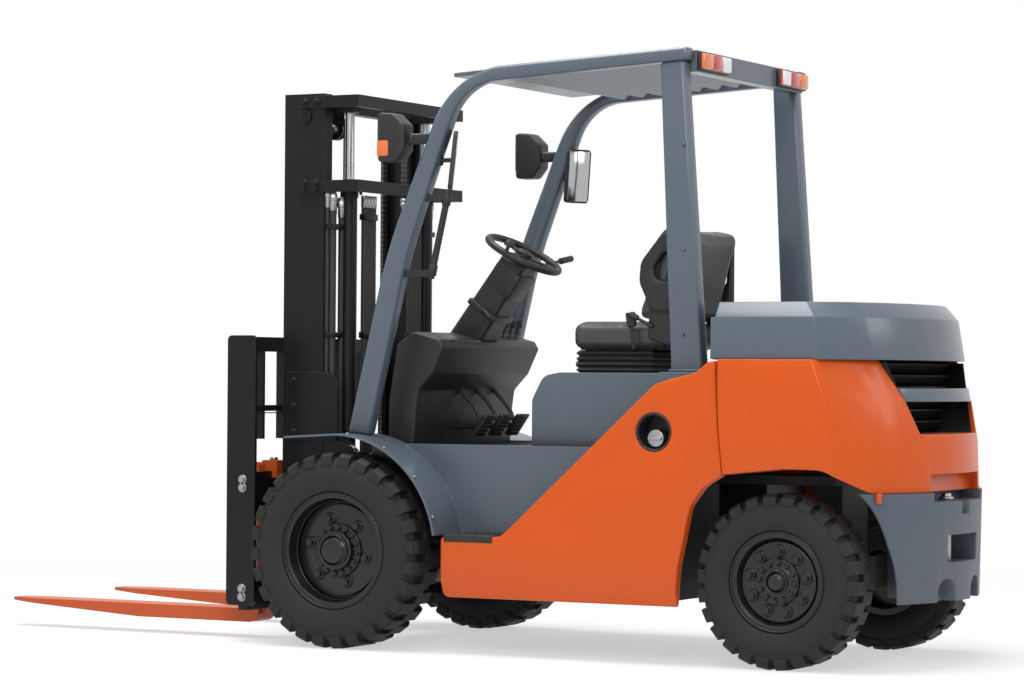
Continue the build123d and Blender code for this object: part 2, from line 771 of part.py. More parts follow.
def steering_wheel():
    """The hand wheel: a round rim on three spokes."""
    plane = Plane(origin=(steering_x, 0, steering_z), z_dir=steering_axis())
    ring = Torus(steering_wheel_radius - steering_rim_radius, steering_rim_radius)
    hub = Pos(0, 0, -12) * Cylinder(32, 44)
    wheel = ring + hub
    for angle in (90, 210, 330):
        spoke = Rot(0, 0, angle) * Pos((steering_wheel_radius - steering_rim_radius) / 2, 0, -4) * Box(
            steering_wheel_radius - steering_rim_radius, 26, 8)
        wheel = wheel + spoke
    return plane * wheel


def steering_column():
    """The covered column from the dash up to the hand wheel, with the direction stalk at its side."""
    axis = Vector(*steering_axis())
    top = Vector(steering_x, 0, steering_z) - axis * (34 + running_gap)
    foot = Vector(-212, 0, dash_top - 40)
    line = top - foot
    plane = Plane(origin=foot, x_dir=(0, 1, 0), z_dir=line)
    upper = Plane(origin=foot + line, x_dir=(0, 1, 0), z_dir=line)
    body = loft([plane * RectangleRounded(150, 130, 20), upper * RectangleRounded(126, 108, 20)])
    cut_above = Plane(origin=top, z_dir=axis) * Pos(0, 0, 100) * Cylinder(160, 200)
    below = block(-500, 0, -200, 200, 0, dash_top - 30)
    knob = round_bar(12, (-468.6, -230.4, 1415.2), (-482, -294, 1427.1))
    stalk = round_bar(6, (-420, 0, 1372), (-474, -256, 1420)) + knob
    return body - cut_above - below - dash() + stalk


def dash():
    """The instrument cowl ahead of the driver."""
    points = [(-78, floor_height), (-78, 880), (-112, dash_top - 48), (-180, dash_top), (-290, dash_top - 30),
              (-308, dash_top - 58), (-262, 990), (-204, 930), (-194, 860), (-186, floor_height)]
    return profile_plate(points, -dash_half_width, dash_half_width, [0, 80, 24, 30, 10, 14, 20, 30, 30, 0])


def lever(y):
    """One short hydraulic lever with its knob, on top of the dash."""
    foot = (-236, y, dash_top - 30)
    top = (-262, y, dash_top + 34)
    return round_bar(5, foot, top) - dash() + upright(13, -262, y, dash_top + 22, dash_top + 50)


def controls():
    """The hydraulic levers and the pedals."""
    solids = [lever(y) for y in (-190, -240, -290)]
    for y in (-200, -70, 60):
        pad = Pos(-300, y, 800) * Rot(0, -35, 0) * Box(14, 66, 90)
        arm = round_bar(8, (-176, y, 790), (-298, y, 800))
        solids.append(pad + (arm - dash()))
    return solids


# Counterweight

def tail_outline(tail, half, front):
    """The plan of the counterweight: straight sides, cut corners and a bowed tail."""
    corner_x = tail + tail_bow
    with BuildLine() as line:
        Polyline((corner_x, corner_half_width), (corner_x + 125, half), (front, half), (front, -half),
                 (corner_x + 125, -half), (corner_x, -corner_half_width))
        ThreePointArc((corner_x, -corner_half_width), (tail, 0), (corner_x, corner_half_width))
    return line.line


def weight_block(z_low, z_high, tail_low, tail_high, half_low, half_high, front):
    low = Plane.XY.offset(z_low) * make_face(tail_outline(tail_low, half_low, front))
    high = Plane.XY.offset(z_high) * make_face(tail_outline(tail_high, half_high, front))
    return loft([low, high], ruled=True)


def air_duct():
    """The room of the radiator's air duct, narrower at its foot."""
    foot, top = duct_half_width - duct_taper, weight_body_top + 1
    room = Polyline((duct_half_width, top), (foot, duct_bottom), (-foot, duct_bottom),
                    (-duct_half_width, top), close=True)
    return Plane.YZ.offset(tail_x - 10) * extrude(make_face(room), amount=-tail_x - 1630)


def counterweight_body():
    """The painted casting above the rear wheels, with the radiator's air duct through it."""
    levels = [(weight_base_top, 11, 0), (weight_crease, 17, 0), (905, 42, 4), (weight_body_top, 93, 12)]
    slices = []
    for (z_low, lean_low, draw_low), (z_high, lean_high, draw_high) in zip(levels, levels[1:]):
        slices.append(weight_block(z_low, z_high, tail_x + lean_low, tail_x + lean_high,
                                   body_half_width - draw_low, body_half_width - draw_high, weight_front))
    arch = [(weight_front + 1, weight_base_top - 1), (weight_front + 1, 652), (-1739, 678), (-1890, 676),
            (-2012, weight_base_top), (-2012, weight_base_top - 1)]
    wall = body_half_width + 100
    body = fuse(*slices) - profile_plate(arch, -wall, wall, [0, 0, 0, 120, 0, 0])
    bay_half = radiator_half_width + 5
    bay = block(-1650, weight_front + 1, -bay_half, bay_half, 705, weight_body_top + 1)
    seat = block(-1620, weight_front, -150, 150, 645, 700)
    notch = profile_plate([(tail_x, weight_base_top - 1), (tail_x, 660), (tail_x + 90, 660),
                           (tail_x + 70, weight_base_top - 1)], -225, 225)
    split = [(-1400, weight_body_top + 1), (-1493, weight_body_top + 1), (-1493, shoulder_height),
             (-1503, 820), (-1521, 652), (-1400, 652)]
    edge = profile_plate(split, panel_inside - 1, body_half_width + 1)
    return fuse(body - air_duct() - bay, seat) - notch - edge - other_side(edge)


def jack_notch():
    """One round-topped notch at the foot of the tail for a jack."""
    outline = FilletPolyline((75, weight_base_bottom - 60), (75, weight_base_bottom + 77),
                             (195, weight_base_bottom + 77), (195, weight_base_bottom - 60),
                             radius=52, close=True)
    return Plane.YZ.offset(tail_x - 5) * extrude(make_face(outline), amount=65)


def counterweight_base():
    """The bare casting behind the steering wheels, with the tow slot, its pin hole and jacking notches."""
    base = weight_block(weight_base_bottom, weight_base_top, tail_x + 8, tail_x, rough_half_width,
                        rough_half_width, -1900)
    for side in (1, -1):
        base = base - wheel_pocket(side)
    slot = block(tail_x - 5, tail_x + 150, -tow_slot_half_width, tow_slot_half_width,
                 tow_slot_bottom, tow_slot_top)
    ledge = block(tail_x - 5, tail_x + 110, -225, 225, weight_base_top - 31, weight_base_top + 1)
    handle_room = block(tail_x - 5, tail_x + 36, -32, 32, weight_base_top - 76, weight_base_top)
    pin_hole = upright(tow_pin_radius, tail_x + 72, 0, weight_base_bottom - 1, weight_base_top + 1)
    notch = jack_notch()
    return base - slot - pin_hole - ledge - handle_room - notch - other_side(notch)


def counterweight_cover():
    """The grey cover over the radiator, with a bevelled rim, and the bar across the air outlet."""
    half = rough_half_width
    seam = weight_cover_top - 52
    low = weight_block(weight_body_top, seam, tail_x + 66, tail_x + 91, half, half - 3, -1462)
    top = weight_block(seam, weight_cover_top, tail_x + 91, tail_x + 138, half - 3, half - 39, -1478)
    outer = weight_block(905, 950, tail_x + 44, tail_x + 52, half, half, weight_front)
    inner = weight_block(904, 951, tail_x + 90, tail_x + 90, half, half, weight_front)
    return [fuse(low, top), (outer - inner) & air_duct()]


def air_grille():
    """The slats across the duct, sloped to throw the radiator's air out and up."""
    slats = []
    room = air_duct()
    for index in range(slat_count):
        place = Pos(tail_x + 218, 0, duct_bottom + 24 + index * slat_pitch)
        slats.append(place * Rot(0, 35, 0) * Box(52, 2 * duct_half_width, 6) & room)
    return slats


# Mast

def outer_rail():
    """One outer rail: a channel open to the inside."""
    web_y = mast_half_width - rail_web
    web = block(mast_rail_rear, mast_front_x, web_y, mast_half_width, mast_bottom, mast_top)
    inner_y = mast_half_width - outer_flange_width
    rear_x = mast_rail_rear + rail_flange
    rear = block(mast_rail_rear, rear_x, inner_y, mast_half_width, mast_bottom, mast_top)
    front = block(mast_front_x - rail_flange, mast_front_x, inner_y, mast_half_width, mast_bottom, mast_top)
    return fuse(web, rear, front)


def mast_tie(z_low):
    """A bar that wraps round the back of the rails."""
    outer = mast_half_width + tie_thickness
    frame_bar = block(46, 300, -outer, outer, z_low, z_low + tie_height)
    hollow = block(46 + tie_thickness + 4, 301, -mast_half_width, mast_half_width,
                   z_low - 1, z_low + tie_height + 1)
    return frame_bar - hollow


def mast_saddle():
    """The bracket that hangs each rail on the drive axle."""
    y_low, y_high = mast_half_width - outer_flange_width, mast_half_width
    z = front_tyre_radius
    points = [(mast_rail_rear, z - 110), (0, z - 100), (-70, z - 60), (-96, z), (-70, z + 60), (0, z + 100),
              (mast_rail_rear, z + 130)]
    bracket = profile_plate(points, y_low, y_high, [0, 60, 50, 60, 50, 60, 0])
    return bracket - cross_bar(axle_tube_radius + running_gap, 0, z, y_low - 1, y_high + 1)


def tilt_lug():
    """The two ears on a rail that hold the tilt cylinder's rod pin."""
    gap = tilt_eye_width / 2 + running_gap
    ears = []
    for low, high in ((-gap - 13, -gap), (gap, gap + 13)):
        ears.append(profile_plate([(mast_rail_rear, tilt_eye_z - 70), (tilt_eye_x, tilt_eye_z - 28),
                                   (tilt_eye_x - 28, tilt_eye_z), (tilt_eye_x, tilt_eye_z + 28),
                                   (mast_rail_rear, tilt_eye_z + 70)],
                                  tilt_half_spacing + low, tilt_half_spacing + high, [0, 26, 10, 26, 0]))
    pin = cross_bar(tilt_pin_radius, tilt_eye_x, tilt_eye_z, tilt_half_spacing - gap - 13,
                    tilt_half_spacing + gap + 13)
    return fuse(*ears, pin)


def rail_plate():
    """The plate that stiffens each outer rail beside the tilt cylinder's lugs."""
    outline = [(129, 741), (129, 992), (349, 992), (349, 741)]
    return profile_plate(outline, mast_half_width - 1, mast_half_width + 10, [12, 60, 12, 12])


def mast_outer():
    """The outer rails with their ties, axle saddles, cylinder feet and chain anchors."""
    parts = [mast_tie(mast_top - 54), mast_tie(1656)]
    low_tie = block(mast_rail_rear - 18, mast_rail_rear, -mast_half_width, mast_half_width, 128, 196)
    foot = block(lift_x - 36, mast_rail_rear, lift_y - 32, mast_half_width - 10, lift_barrel_bottom - 30,
                 lift_barrel_bottom)
    anchor = block(60, sheave_x - sheave_radius + 1, chain_y - 11, chain_y + 11, 1664, 1692)
    parts.append(low_tie)
    for side in (1, -1):
        for piece in (outer_rail(), rail_plate(), mast_saddle(), tilt_lug(), foot, anchor):
            parts.append(on_side(piece, side))
    return fuse(*parts)


def lift_barrels():
    """The two lift cylinder tubes with their glands."""
    tube = upright(lift_barrel_radius, lift_x, lift_y, lift_barrel_bottom, lift_barrel_top)
    gland = upright(lift_barrel_radius + 4, lift_x, lift_y, lift_barrel_top - 60, lift_barrel_top)
    bore_radius = lift_rod_radius + running_gap
    bore = upright(bore_radius, lift_x, lift_y, lift_barrel_bottom + 14, lift_barrel_top + 1)
    return both_sides(tube + gland - bore)


def mast_inner():
    """The inner rails with rollers at the foot, and a cross tie at the top that carries the sheaves."""
    x_low = mast_rail_rear + rail_flange + moving_gap
    x_high = mast_front_x - rail_flange - moving_gap
    y_in = inner_half_width - inner_flange_width
    web = block(x_low, x_high, inner_half_width - rail_web, inner_half_width, inner_bottom, inner_top)
    rear = block(x_low, x_low + rail_flange, y_in, inner_half_width, inner_bottom, inner_top)
    front = block(x_high - rail_flange, x_high, y_in, inner_half_width, inner_bottom, inner_top)
    centre = (mast_rail_rear + mast_front_x) / 2
    roller_radius = mast_rail_depth / 2 - rail_flange - running_gap
    roller = cross_bar(roller_radius, centre, inner_bottom + 80, inner_half_width - 2,
                       mast_half_width - rail_web - running_gap)
    rail = fuse(web, rear, front, roller)
    top_tie = block(190, x_low + 12, -y_in - 4, y_in + 4, 1958, inner_top)
    head = block(lift_x - 34, 192, lift_y - 26, lift_y + 34, 1955, 1985)
    cheek_gap = chain_width / 2 + 2
    cheeks = []
    for low, high in ((-cheek_gap - 6, -cheek_gap), (cheek_gap, cheek_gap + 6)):
        cheeks.append(block(x_low, sheave_x + 14, chain_y + low, chain_y + high, sheave_z - 20, 1962))
    sheave = cross_bar(sheave_radius, sheave_x, sheave_z, chain_y - 11, chain_y + 11)
    axle = cross_bar(10, sheave_x, sheave_z, chain_y - cheek_gap - 4, chain_y + cheek_gap + 4)
    parts = [top_tie]
    for side in (1, -1):
        for piece in (rail, head, sheave, axle, *cheeks):
            parts.append(on_side(piece, side))
    return fuse(*parts)


def lift_rods():
    """The bright rods that push up the inner rails."""
    return both_sides(upright(lift_rod_radius, lift_x, lift_y, lift_barrel_bottom + 18, 1955))


def lift_chains():
    """The two chains, each from its anchor over the sheave and down to the carriage."""
    inner = sheave_radius + running_gap
    outer = inner + chain_thickness
    low_y, high_y = chain_y - chain_width / 2, chain_y + chain_width / 2
    room = cross_bar(inner, sheave_x, sheave_z, low_y - 1, high_y + 1)
    ring = cross_bar(outer, sheave_x, sheave_z, low_y, high_y) - room
    arc = ring & block(sheave_x - 80, sheave_x + 80, low_y - 1, high_y + 1, sheave_z, sheave_z + 80)
    front = block(sheave_x + inner, sheave_x + outer, low_y, high_y, carriage_top - 60, sheave_z + 0.5)
    rear = block(sheave_x - outer, sheave_x - inner, low_y, high_y, 1692 + running_gap, sheave_z + 0.5)
    return both_sides(fuse(arc, front, rear))


# Carriage, backrest and forks

def carriage():
    """Two finger bars on side plates whose rollers run in the inner rails."""
    half = carriage_half_width - backrest_plate
    upper = block(bar_rear_x, bar_front_x, -half, half, carriage_top - finger_bar_height, carriage_top)
    lower = block(bar_rear_x, bar_front_x, -half, half, carriage_bottom, carriage_bottom + finger_bar_height)
    rail_in = inner_half_width - inner_flange_width
    y_high = rail_in - moving_gap
    y_low = y_high - 24
    plate_low, plate_high = carriage_bottom + 40, carriage_top - 40
    plate = profile_plate([(bar_rear_x + 1, plate_low), (bar_rear_x + 1, plate_high), (340, plate_high - 10),
                           (252, 490), (252, plate_low + 20), (290, plate_low)], y_low, y_high)
    x_low = mast_rail_rear + 2 * rail_flange + moving_gap
    x_high = mast_front_x - 2 * rail_flange - moving_gap
    radius = (x_high - x_low) / 2 - running_gap
    parts = [upper, lower]
    for z in (205, 440):
        roller_y = inner_half_width - rail_web - running_gap
        roller = cross_bar(radius, (x_low + x_high) / 2, z, y_high - 2, roller_y)
        parts += both_sides(roller)
    cross_x = sheave_x + sheave_radius + chain_thickness + running_gap + moving_gap
    cross = block(cross_x, 330, -y_low - 1, y_low + 1,
                  500, 590)
    parts += both_sides(plate) + [cross]
    return fuse(*parts)


def load_backrest():
    """The guard behind the load: side plates, two cross bars and slim uprights."""
    y_low, y_high = carriage_half_width - backrest_plate, carriage_half_width
    x_high = fork_face_reach - 4
    side = profile_plate([(384, carriage_bottom + 18), (384, backrest_top), (x_high, backrest_top),
                          (x_high, carriage_bottom + 18)], y_low, y_high, 18)
    top = block(x_high - backrest_depth, x_high, -y_low - 1, y_low + 1, backrest_top - 58, backrest_top - 4)
    low = block(x_high - backrest_depth, x_high - 20, -y_low - 1, y_low + 1, 846, 868)
    parts = [top, low] + both_sides(side)
    for y in (50, 210, 370):
        bar = block(x_high - backrest_depth, x_high, y - 6, y + 6, 742, backrest_top - 10)
        parts += both_sides(bar)
    return fuse(*parts)


def fork(side):
    """One forged fork: blade with a tapered tip, heel and shank with its two hooks."""
    tip_low = fork_top_z - fork_tip_thickness
    hook_top = carriage_top + running_gap + fork_hook
    points = [(tip_x, fork_top_z), (tip_x, tip_low), (fork_face_reach + 0.45 * fork_length, fork_lift),
              (fork_back_x, fork_lift), (fork_back_x, hook_top), (fork_face_reach, hook_top - 20),
              (fork_face_reach, fork_top_z)]
    radii = [0, 0, 0, 45, 14, 14, 18]
    half = fork_width / 2
    body = profile_plate(points, -half, half, radii)
    tip = Polyline((tip_x + 1, -half - 1), (tip_x + 1, -34), (tip_x - 120, -half - 1), close=True)
    trim = Pos(0, 0, fork_lift - 5) * extrude(make_face(tip), amount=fork_thickness + 10)
    body = body - trim - other_side(trim)
    upper_hook = profile_plate([(fork_back_x + 1, carriage_top + running_gap), (fork_back_x + 1, hook_top),
                                (bar_rear_x - 22, hook_top), (bar_rear_x - 22, carriage_top - 24),
                                (bar_rear_x - running_gap, carriage_top - 24),
                                (bar_rear_x - running_gap, carriage_top + running_gap)],
                               -half + 20, half - 20)
    low = carriage_bottom - running_gap
    lower_hook = profile_plate([(fork_back_x + 1, low), (bar_rear_x - running_gap, low),
                                (bar_rear_x - running_gap, low + 24), (bar_rear_x - 20, low + 24),
                                (bar_rear_x - 20, low - 24), (fork_back_x + 1, low - 24)],
                               -half + 20, half - 20)
    return Pos(0, side * fork_half_spacing, 0) * fuse(body, upper_hook, lower_hook)


# Tilt cylinders

def tilt_line():
    return Vector(tilt_eye_x - tilt_base_x, 0, tilt_eye_z - tilt_base_z)


def along_tilt(distance):
    line = tilt_line().normalized()
    return (tilt_base_x + line.X * distance, tilt_half_spacing, tilt_base_z + line.Z * distance)


def tilt_barrels():
    """The tilt cylinder tubes, each on an eye at its rear pin."""
    tube = round_bar(tilt_barrel_radius, along_tilt(tilt_eye_radius + 4), along_tilt(tilt_barrel_length))
    neck = round_bar(22, along_tilt(8), along_tilt(tilt_eye_radius + 10)) & block(
        -600, 200, tilt_half_spacing - tilt_eye_width / 2, tilt_half_spacing + tilt_eye_width / 2, 300, 900)
    eye = cross_bar(tilt_eye_radius, tilt_base_x, tilt_base_z, tilt_half_spacing - tilt_eye_width / 2,
                    tilt_half_spacing + tilt_eye_width / 2)
    hole = cross_bar(tilt_pin_radius + running_gap, tilt_base_x, tilt_base_z, tilt_half_spacing - 40,
                     tilt_half_spacing + 40)
    bore = round_bar(tilt_rod_radius + running_gap, along_tilt(tilt_eye_radius + 24),
                     along_tilt(tilt_barrel_length + 1))
    return both_sides(fuse(tube, neck, eye) - hole - bore)


def tilt_rods():
    """The bright tilt rods with the eyes that hold the rails."""
    length = tilt_line().length
    rod = round_bar(tilt_rod_radius, along_tilt(200), along_tilt(length - tilt_eye_radius - 8))
    neck = round_bar(tilt_eye_width / 2, along_tilt(length - tilt_eye_radius - 10),
                     along_tilt(length - tilt_eye_radius + 6))
    eye = cross_bar(tilt_eye_radius, tilt_eye_x, tilt_eye_z, tilt_half_spacing - tilt_eye_width / 2,
                    tilt_half_spacing + tilt_eye_width / 2)
    hole = cross_bar(tilt_pin_radius + open_pivot_gap, tilt_eye_x, tilt_eye_z, tilt_half_spacing - 40,
                     tilt_half_spacing + 40)
    return both_sides(fuse(rod, neck, eye) - hole)


def pieces():
    """Every node by name, with its solids."""
    named = {
        "frame": frame(),
        "floor_plate": floor_plate(),
        "rear_deck": rear_deck(),
        "power_unit": power_unit(),
        "fuel_filler": fuel_filler(),
        "guard_legs": guard_legs(),
        "guard_roof": guard_roof(),
        "rear_lamps": rear_lamps(),
        "head_lamps": head_lamps(),
        "mirrors": mirrors(),
        "assist_grip": assist_grip(),
        "hood": hood(),
        "seat_suspension": seat_suspension(),
        "seat_cushion": seat_cushion(),
        "seat_back": seat_back(),
        "seat_wings": seat_wings(),
        "steering_wheel": steering_wheel(),
        "steering_column": steering_column(),
        "dash": dash(),
        "controls": controls(),
        "counterweight_body": counterweight_body(),
        "counterweight_base": counterweight_base(),
        "counterweight_cover": counterweight_cover(),
        "air_grille": air_grille(),
        "drive_axle": drive_axle(),
        "steer_axle": steer_axle(),
        "mast_outer": mast_outer(),
        "lift_barrels": lift_barrels(),
        "mast_inner": mast_inner(),
        "lift_rods": lift_rods(),
        "lift_chains": lift_chains(),
        "carriage": carriage(),
        "load_backrest": load_backrest(),
        "tilt_barrels": tilt_barrels(),
        "tilt_rods": tilt_rods(),
    }
    front_tyre = tyre(front_tyre_radius, front_tyre_width, front_rim_radius, front_rim_width, front_lug_count)
    rear_tyre = tyre(rear_tyre_radius, rear_tyre_width, rear_rim_radius, rear_rim_width, rear_lug_count)
    for name, side in (("left", 1), ("right", -1)):
        named["side_panel_" + name] = side_panel(side)
        named["cowl_" + name] = cowl(side)
        named["guard_pillar_" + name] = guard_pillar(side)
        front_place = Pos(0, side * front_wheel_y, front_tyre_radius)
        named["front_tyre_" + name] = front_place * on_side(front_tyre, side)
        named["front_rim_" + name] = front_rim(side)
        named["rear_tyre_" + name] = Pos(rear_axle_x, side * rear_wheel_y, rear_tyre_radius) * on_side(
            rear_tyre, side)
        named["rear_rim_" + name] = rear_rim(side)
        named["knuckle_" + name] = knuckle(side)
        named["fork_" + name] = fork(side)
    return named


def solids_of(shape):
    """The separate solids of a node, whatever way they were made."""
    if isinstance(shape, (list, tuple)):
        return [solid for item in shape for solid in item.solids()]
    return list(shape.solids())


def main():
    os.makedirs("parts", exist_ok=True)
    for name, shape in pieces().items():
        solids = [Pos(centre_shift, 0, 0) * solid for solid in solids_of(shape)]
        node = solids[0] if len(solids) == 1 else Compound(children=solids)
        export_step(node, os.path.join("parts", name + ".step"))


main()
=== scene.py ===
"""Looks of a counterbalance forklift truck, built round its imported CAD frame.

X runs forwards to the forks, Y to the driver's left and Z up. The stage and the materials are in metres.
The pieces are in millimetres from the front axle, the truck's middle and the floor.
"""
from __future__ import annotations

import logging
import math
from dataclasses import dataclass
from enum import Enum
from typing import Iterable, Optional, Sequence, Union

import bpy
from mathutils import Matrix, Vector


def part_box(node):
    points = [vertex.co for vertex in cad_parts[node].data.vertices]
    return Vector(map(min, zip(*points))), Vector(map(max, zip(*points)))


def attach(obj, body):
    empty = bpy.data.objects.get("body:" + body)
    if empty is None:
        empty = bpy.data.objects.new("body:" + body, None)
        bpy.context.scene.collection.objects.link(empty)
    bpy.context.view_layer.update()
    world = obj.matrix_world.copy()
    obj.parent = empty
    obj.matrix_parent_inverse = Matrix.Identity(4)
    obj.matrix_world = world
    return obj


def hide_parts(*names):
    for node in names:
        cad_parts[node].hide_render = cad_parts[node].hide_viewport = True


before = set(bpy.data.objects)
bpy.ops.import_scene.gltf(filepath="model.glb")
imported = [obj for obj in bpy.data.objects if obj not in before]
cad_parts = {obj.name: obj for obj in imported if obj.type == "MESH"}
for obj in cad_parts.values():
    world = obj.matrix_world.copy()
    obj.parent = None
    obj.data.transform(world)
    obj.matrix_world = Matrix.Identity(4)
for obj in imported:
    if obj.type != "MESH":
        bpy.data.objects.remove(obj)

logging.basicConfig(level=logging.INFO, format="%(message)s")
LOG = logging.getLogger("forklift")

Colour = tuple[float, float, float]
Point = tuple[float, float, float]
Seat = tuple[Point, Point]
Ends = tuple[Point, Point]

# Millimetres in a metre, and how far the front axle lies ahead of the frame's origin in metres.
MM = 1000
AXLE_X = 0.279

OUT = (0, 1, 0)
FORWARD = (1, 0, 0)
BACK = (-1, 0, 0)
WHITE = (1.0, 1.0, 1.0, 1.0)
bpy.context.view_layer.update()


class Side(Enum):
    """The two sides of the truck, as the sign of Y."""

    LEFT = 1
    RIGHT = -1

    @property
    def word(self) -> str:
        """The side as it stands in node names."""
        return self.name.lower()


def truck(x: float, y: float, z: float) -> Vector:
    """Turns millimetres from the front axle into a point of the frame.

    Args:
        x: Millimetres ahead of the front axle.
        y: Millimetres to the driver's left.
        z: Millimetres above the floor.

    Returns:
        The same point in metres, in the frame of the CAD model.
    """
    return Vector((x / MM + AXLE_X, y / MM, z / MM))


# Materials


class Wire:
    """A shader value that takes part in plain arithmetic."""

    def __init__(self, tree: "NodeTree", socket: bpy.types.NodeSocket) -> None:
        """Keeps the socket and the tree that it belongs to."""
        self.tree = tree
        self.socket = socket

    def _math(self, operation: str, first: "Number", second: "Number" = 0.0, clamp: bool = False) -> "Wire":
        """Adds one Math node and returns its result."""
        settings = {"operation": operation, "use_clamp": clamp}
        return self.tree.wire(self.tree.add("ShaderNodeMath", settings, {0: first, 1: second}))

    def __add__(self, other: "Number") -> "Wire":
        """Sum of two values."""
        return self._math("ADD", self, other)

    def __radd__(self, other: "Number") -> "Wire":
        """Sum of two values."""
        return self._math("ADD", other, self)

    def __sub__(self, other: "Number") -> "Wire":
        """Difference of two values."""
        return self._math("SUBTRACT", self, other)

    def __rsub__(self, other: "Number") -> "Wire":
        """Difference of two values."""
        return self._math("SUBTRACT", other, self)

    def __mul__(self, other: "Number") -> "Wire":
        """Product of two values."""
        return self._math("MULTIPLY", self, other)

    def __rmul__(self, other: "Number") -> "Wire":
        """Product of two values."""
        return self._math("MULTIPLY", other, self)

    def clamped(self) -> "Wire":
        """The value held between nought and one."""
        return self._math("ADD", self, clamp=True)

    def root(self) -> "Wire":
        """Square root of the value."""
        return self._math("SQRT", self)

    def wave(self) -> "Wire":
        """Sine of the value."""
        return self._math("SINE", self)

    def above(self, edge: float, width: float) -> "Wire":
        """A soft step that is one where the value is above an edge.

        Args:
            edge: The value at which the step begins.
            width: How far the step takes to reach one.

        Returns:
            The step, from nought to one.
        """
        return ((self - edge) * (1.0 / width)).clamped()


Number = Union[float, Wire]


class NodeTree:
    """The nodes of a material or of the sky."""

    def __init__(self, tree: bpy.types.NodeTree) -> None:
        """Empties the tree and keeps it."""
        self.nodes = tree.nodes
        self.links = tree.links
        self.nodes.clear()

    def add(self, kind: str, settings: Optional[dict] = None,
            inputs: Optional[dict] = None) -> bpy.types.Node:
        """Adds a node.

        Args:
            kind: The node's type.
            settings: Properties that are set before its sockets.
            inputs: Values or wires for its sockets, by name or number.

        Returns:
            The new node.
        """
        node = self.nodes.new(kind)
        for key, value in (settings or {}).items():
            setattr(node, key, value)
        for key, value in (inputs or {}).items():
            self.feed(node.inputs[key], value)
        return node

    def feed(self, socket: bpy.types.NodeSocket, value: object) -> None:
        """Gives a socket a wire or a plain value."""
        if isinstance(value, Wire):
            self.links.new(value.socket, socket)
        elif isinstance(value, bpy.types.NodeSocket):
            self.links.new(value, socket)
        else:
            socket.default_value = value

    def wire(self, node: bpy.types.Node, output: Union[int, str] = 0) -> Wire:
        """One output of a node as a value."""
        return Wire(self, node.outputs[output])


class Shader(NodeTree):
    """The nodes of one material, round its surface shader."""

    def __init__(self, name: str) -> None:
        """Makes a material with one surface shader.

        Args:
            name: The material's name.
        """
        self.material = bpy.data.materials.new(name)
        self.material.use_nodes = True
        super().__init__(self.material.node_tree)
        self.surface = self.add("ShaderNodeBsdfPrincipled")
        self.output = self.add("ShaderNodeOutputMaterial", {}, {0: self.surface.outputs[0]})

    def place(self) -> Wire:
        """The point on the object."""
        source = self.add("ShaderNodeTexCoord")
        return self.wire(self.add("ShaderNodeMapping", {}, {"Vector": source.outputs["Object"]}))

    def axes(self, *letters: str) -> list[Wire]:
        """The point on the object along the named axes."""
        split = self.add("ShaderNodeSeparateXYZ", {}, {"Vector": self.place()})
        return [self.wire(split, letter) for letter in letters]

    def noise(self, scale: float, detail: float) -> Wire:
        """Soft noise on the object's own coordinates."""
        inputs = {"Vector": self.place(), "Scale": scale, "Detail": detail}
        return self.wire(self.add("ShaderNodeTexNoise", {}, inputs))

    def mix(self, amount: Number, first: object, second: object) -> Wire:
        """Mixes two colours.

        Args:
            amount: Share of the second colour.
            first: The first colour or wire.
            second: The second colour or wire.

        Returns:
            The mixed colour.
        """
        colours = [(*value, 1.0) if isinstance(value, tuple) else value for value in (first, second)]
        node = self.add("ShaderNodeMix", {"data_type": "RGBA"}, {0: amount, 6: colours[0], 7: colours[1]})
        return self.wire(node, 2)

    def bump(self, height: Wire, distance: float, normal: Optional[Wire] = None,
             strength: float = 1.0) -> Wire:
        """A bump made from a height.

        Args:
            height: The height over the surface, as a share of the distance.
            distance: How far the highest place stands out, in metres.
            normal: The normal that the bump is added to.
            strength: Share of the bump that shows.

        Returns:
            The bumped normal.
        """
        inputs = {"Height": height, "Distance": distance, "Strength": strength}
        if normal is not None:
            inputs["Normal"] = normal
        return self.wire(self.add("ShaderNodeBump", {}, inputs))

    def soft_edges(self, radius: float) -> Wire:
        """A normal that rounds the edges of the shape."""
        return self.wire(self.add("ShaderNodeBevel", {"samples": 6}, {"Radius": radius}))

    def set(self, **sockets: object) -> None:
        """Feeds sockets of the surface shader, by name with underscores."""
        for name, value in sockets.items():
            self.feed(self.surface.inputs[name.replace("_", " ")], value)


